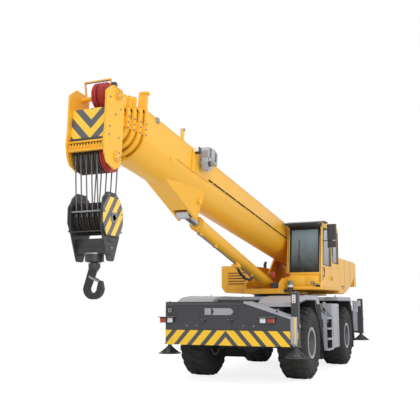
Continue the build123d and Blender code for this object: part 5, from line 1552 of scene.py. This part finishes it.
class CRANE_OT_head(bpy.types.Operator):
    """Warning plate, comb, ribs, bolts, top rail, lamp and sensor box of the boom's head"""

    bl_idname = "crane.head"
    bl_label = "Boom head"

    def execute(self, context):
        bosses = ((11.97, 0.296, 0.08, 0.055), (11.88, -0.722, 0.09, 0.065))  # s, n, radius of boss and bolts
        bm = bmesh.new()
        strip(bm, boom(12.195, 0.015, -0.325), boom(12.183, -0.50, -0.325), (0, 0.65, 0), BOOM_DIR * 0.006)
        finish_piece("head_warning_plate", bm, "section_5", "head_band", slot="crane_yellow")
        bm = bmesh.new()
        boom_block(bm, (12.20, -0.55, 0), (0.05, 0.66, 0.035), 0.008)
        boom_block(bm, (12.21, -0.70, 0), (0.06, 0.66, 0.03), 0.008)
        for step in range(12):
            y = -0.30 + 0.6 * step / 11
            boom_block(bm, (12.218, -0.645, y), (0.03, 0.02, 0.12), 0.004)
        for side in (-1, 1):
            for s, n, radius, _ in bosses:
                rod(bm, boom(s, n, side * 0.385), boom(s, n, side * 0.397), radius, 28)
            for (s1, n1), (s2, n2) in (
                ((12.295, 0.246), (12.244, -0.358)), ((12.244, -0.358), (12.248, -0.604)),
                ((11.842, 0.42), (12.132, 0.40)),
            ):
                rod(bm, boom(s1, n1, side * 0.362), boom(s2, n2, side * 0.362), 0.012, 8)
        finish_piece("head_ribs", bm, "section_5", "yellow", smooth=40, slot="crane_yellow")
        bm = bmesh.new()
        boom_block(bm, (12.200, -0.508, 0), (0.03, 0.62, 0.034), 0.004, 1)
        for side in (-1, 1):
            for s, n, _, ring in bosses:
                bolt_ring(bm, boom(s, n, side * 0.397), ring, 6, (0, side, 0), 0.018, 0, BOOM_DIR, BOOM_UP)
            for s, n in (
                (12.19, 0.18), (12.14, -0.30), (12.14, -0.44), (12.0, -0.05), (11.85, 0.10), (11.85, -0.40),
            ):
                bolt(bm, boom(s, n, side * 0.36), (0, side, 0), 0.022)
        crossbar(bm, boom(12.054, 0.556), 0.235, 0.018, 20)
        finish_piece("head_bolts", bm, "section_5", "steel", "black", smooth=40, slot="machined_steel")
        bm = bmesh.new()
        rod(bm, boom(12.16, -0.62, -0.30), boom(12.16, -0.66, -0.30), 0.04, 20)
        boom_block(bm, (12.02, 0.46, 0.30), (0.08, 0.08, 0.10), 0.01, 1)
        finish_piece("head_lamps", bm, "section_5", "red", "black", smooth=40, slot="trim_black")
        return {"FINISHED"}


class CRANE_OT_hook(bpy.types.Operator):
    """Striped cheek plates, bolts, swivel nut, hook latch and rope guards of the hook block"""

    bl_idname = "crane.hook"
    bl_label = "Hook block"

    def execute(self, context):
        centre = middle("block_sheaves")

        def near(x, y, z):
            """A point measured from the middle of the block's sheaves."""
            return centre + Vector((x, y, z))

        bm = bmesh.new()
        cheek = [
            (-0.19, -0.285), (-0.30, -0.085), (-0.30, 0.155), (-0.16, 0.325),
            (0.16, 0.325), (0.30, 0.155), (0.30, -0.085), (0.19, -0.285),
        ]
        for side in (-1, 1):
            plate(bm, [near(x, side * 0.325, z) for x, z in cheek], (0, side * 0.006, 0))
        finish_piece("block_stripes", bm, "block", "block_band", smooth=30, slot="crane_yellow")
        bm = bmesh.new()
        for side in (-1, 1):
            rod(bm, near(0, side * 0.33, 0), near(0, side * 0.35, 0), 0.085, 28, 1)
            bolt_ring(bm, near(0, side * 0.348, 0), 0.065, 6, (0, side, 0), 0.016, 1)
            for x, z in ((-0.25854, 0.07905), (0.25854, 0.07905), (-0.24366, -0.2139), (0.24366, -0.2139)):
                bolt(bm, near(x, side * 0.331, z), (0, side, 0), 0.022, 1)
            for x, z in ((0, -0.48), (-0.10, 0.35), (0.10, 0.35)):
                bolt(bm, near(x, side * 0.301, z), (0, side, 0), 0.030, 1)
            for z in (-0.36, -0.58):
                block(bm, near(0, side * 0.304, z), (0.16, 0.012, 0.05), 0.004)
        # rope guard between the sheaves and the crosshead
        block(bm, near(0, 0, -0.405), (0.24, 0.56, 0.15), 0.015)
        rod(bm, near(0, 0, -0.685), near(0, 0, -0.70), 0.12, 28)
        rod(bm, near(0, 0, -0.555), near(0, 0, -0.575), 0.165, 32, 1)
        for x in (-0.278, 0.278):
            crossbar(bm, near(x, 0, 0.085), 0.26, 0.014, 12, 1)
        finish_piece("block_parts", bm, "block", "black", "steel", smooth=40, slot="block_black")
        bm = bmesh.new()
        rod(bm, near(0, 0, -0.715), near(0, 0, -0.79), 0.095, 28)
        rod(bm, near(0, 0, -0.79), near(0, 0, -0.83), 0.082, 28, 0, 0.07)
        # spring latch over the throat
        latch = ((-0.055, -0.91), (0.115, -0.996), (0.115, -1.024), (-0.055, -0.95))
        for x in (-0.052, 0.052):
            plate(bm, [near(x, y, z) for y, z in latch], (0.004, 0, 0), 1)
        rod(bm, near(-0.06, -0.055, -0.93), near(0.06, -0.055, -0.93), 0.012, 12, 1)
        rod(bm, near(-0.054, 0.111, -1.01), near(0.054, 0.111, -1.01), 0.010, 12, 1)
        finish_piece("hook_parts", bm, "hook", "black", "steel", smooth=40, slot="block_black")
        return {"FINISHED"}


CLASSES = [
    CranePaint, CraneSizes, CRANE_OT_stage, CRANE_OT_finishes, CRANE_OT_tread, CRANE_OT_bumper,
    CRANE_OT_outriggers, CRANE_OT_deck, CRANE_OT_running_gear, CRANE_OT_cab, CRANE_OT_bodywork, CRANE_OT_boom,
    CRANE_OT_head, CRANE_OT_hook,
]


class CRANE_PT_panel(bpy.types.Panel):
    """Colours, sizes and the steps that dress the crane"""

    bl_idname = "CRANE_PT_panel"
    bl_label = "Mobile Crane"
    bl_space_type = "VIEW_3D"
    bl_region_type = "UI"
    bl_category = "Crane"

    def draw(self, context):
        for group in (context.scene.crane_paint, context.scene.crane_sizes):
            box = self.layout.box()
            for name in group.bl_rna.properties.keys():
                if name not in ("rna_type", "name"):
                    box.prop(group, name)
        for step in STEPS:
            self.layout.operator(step.bl_idname)


STEPS = [cls for cls in CLASSES if hasattr(cls, "execute")]


def register():
    for cls in CLASSES + [CRANE_PT_panel]:
        bpy.utils.register_class(cls)
    bpy.types.Scene.crane_paint = bpy.props.PointerProperty(type=CranePaint)
    bpy.types.Scene.crane_sizes = bpy.props.PointerProperty(type=CraneSizes)


def unregister():
    del bpy.types.Scene.crane_sizes
    del bpy.types.Scene.crane_paint
    for cls in reversed(CLASSES + [CRANE_PT_panel]):
        bpy.utils.unregister_class(cls)


def main():
    register()
    for step in STEPS:
        group, name = step.bl_idname.split(".")
        getattr(getattr(bpy.ops, group), name)()


if __name__ == "__main__":
    main()
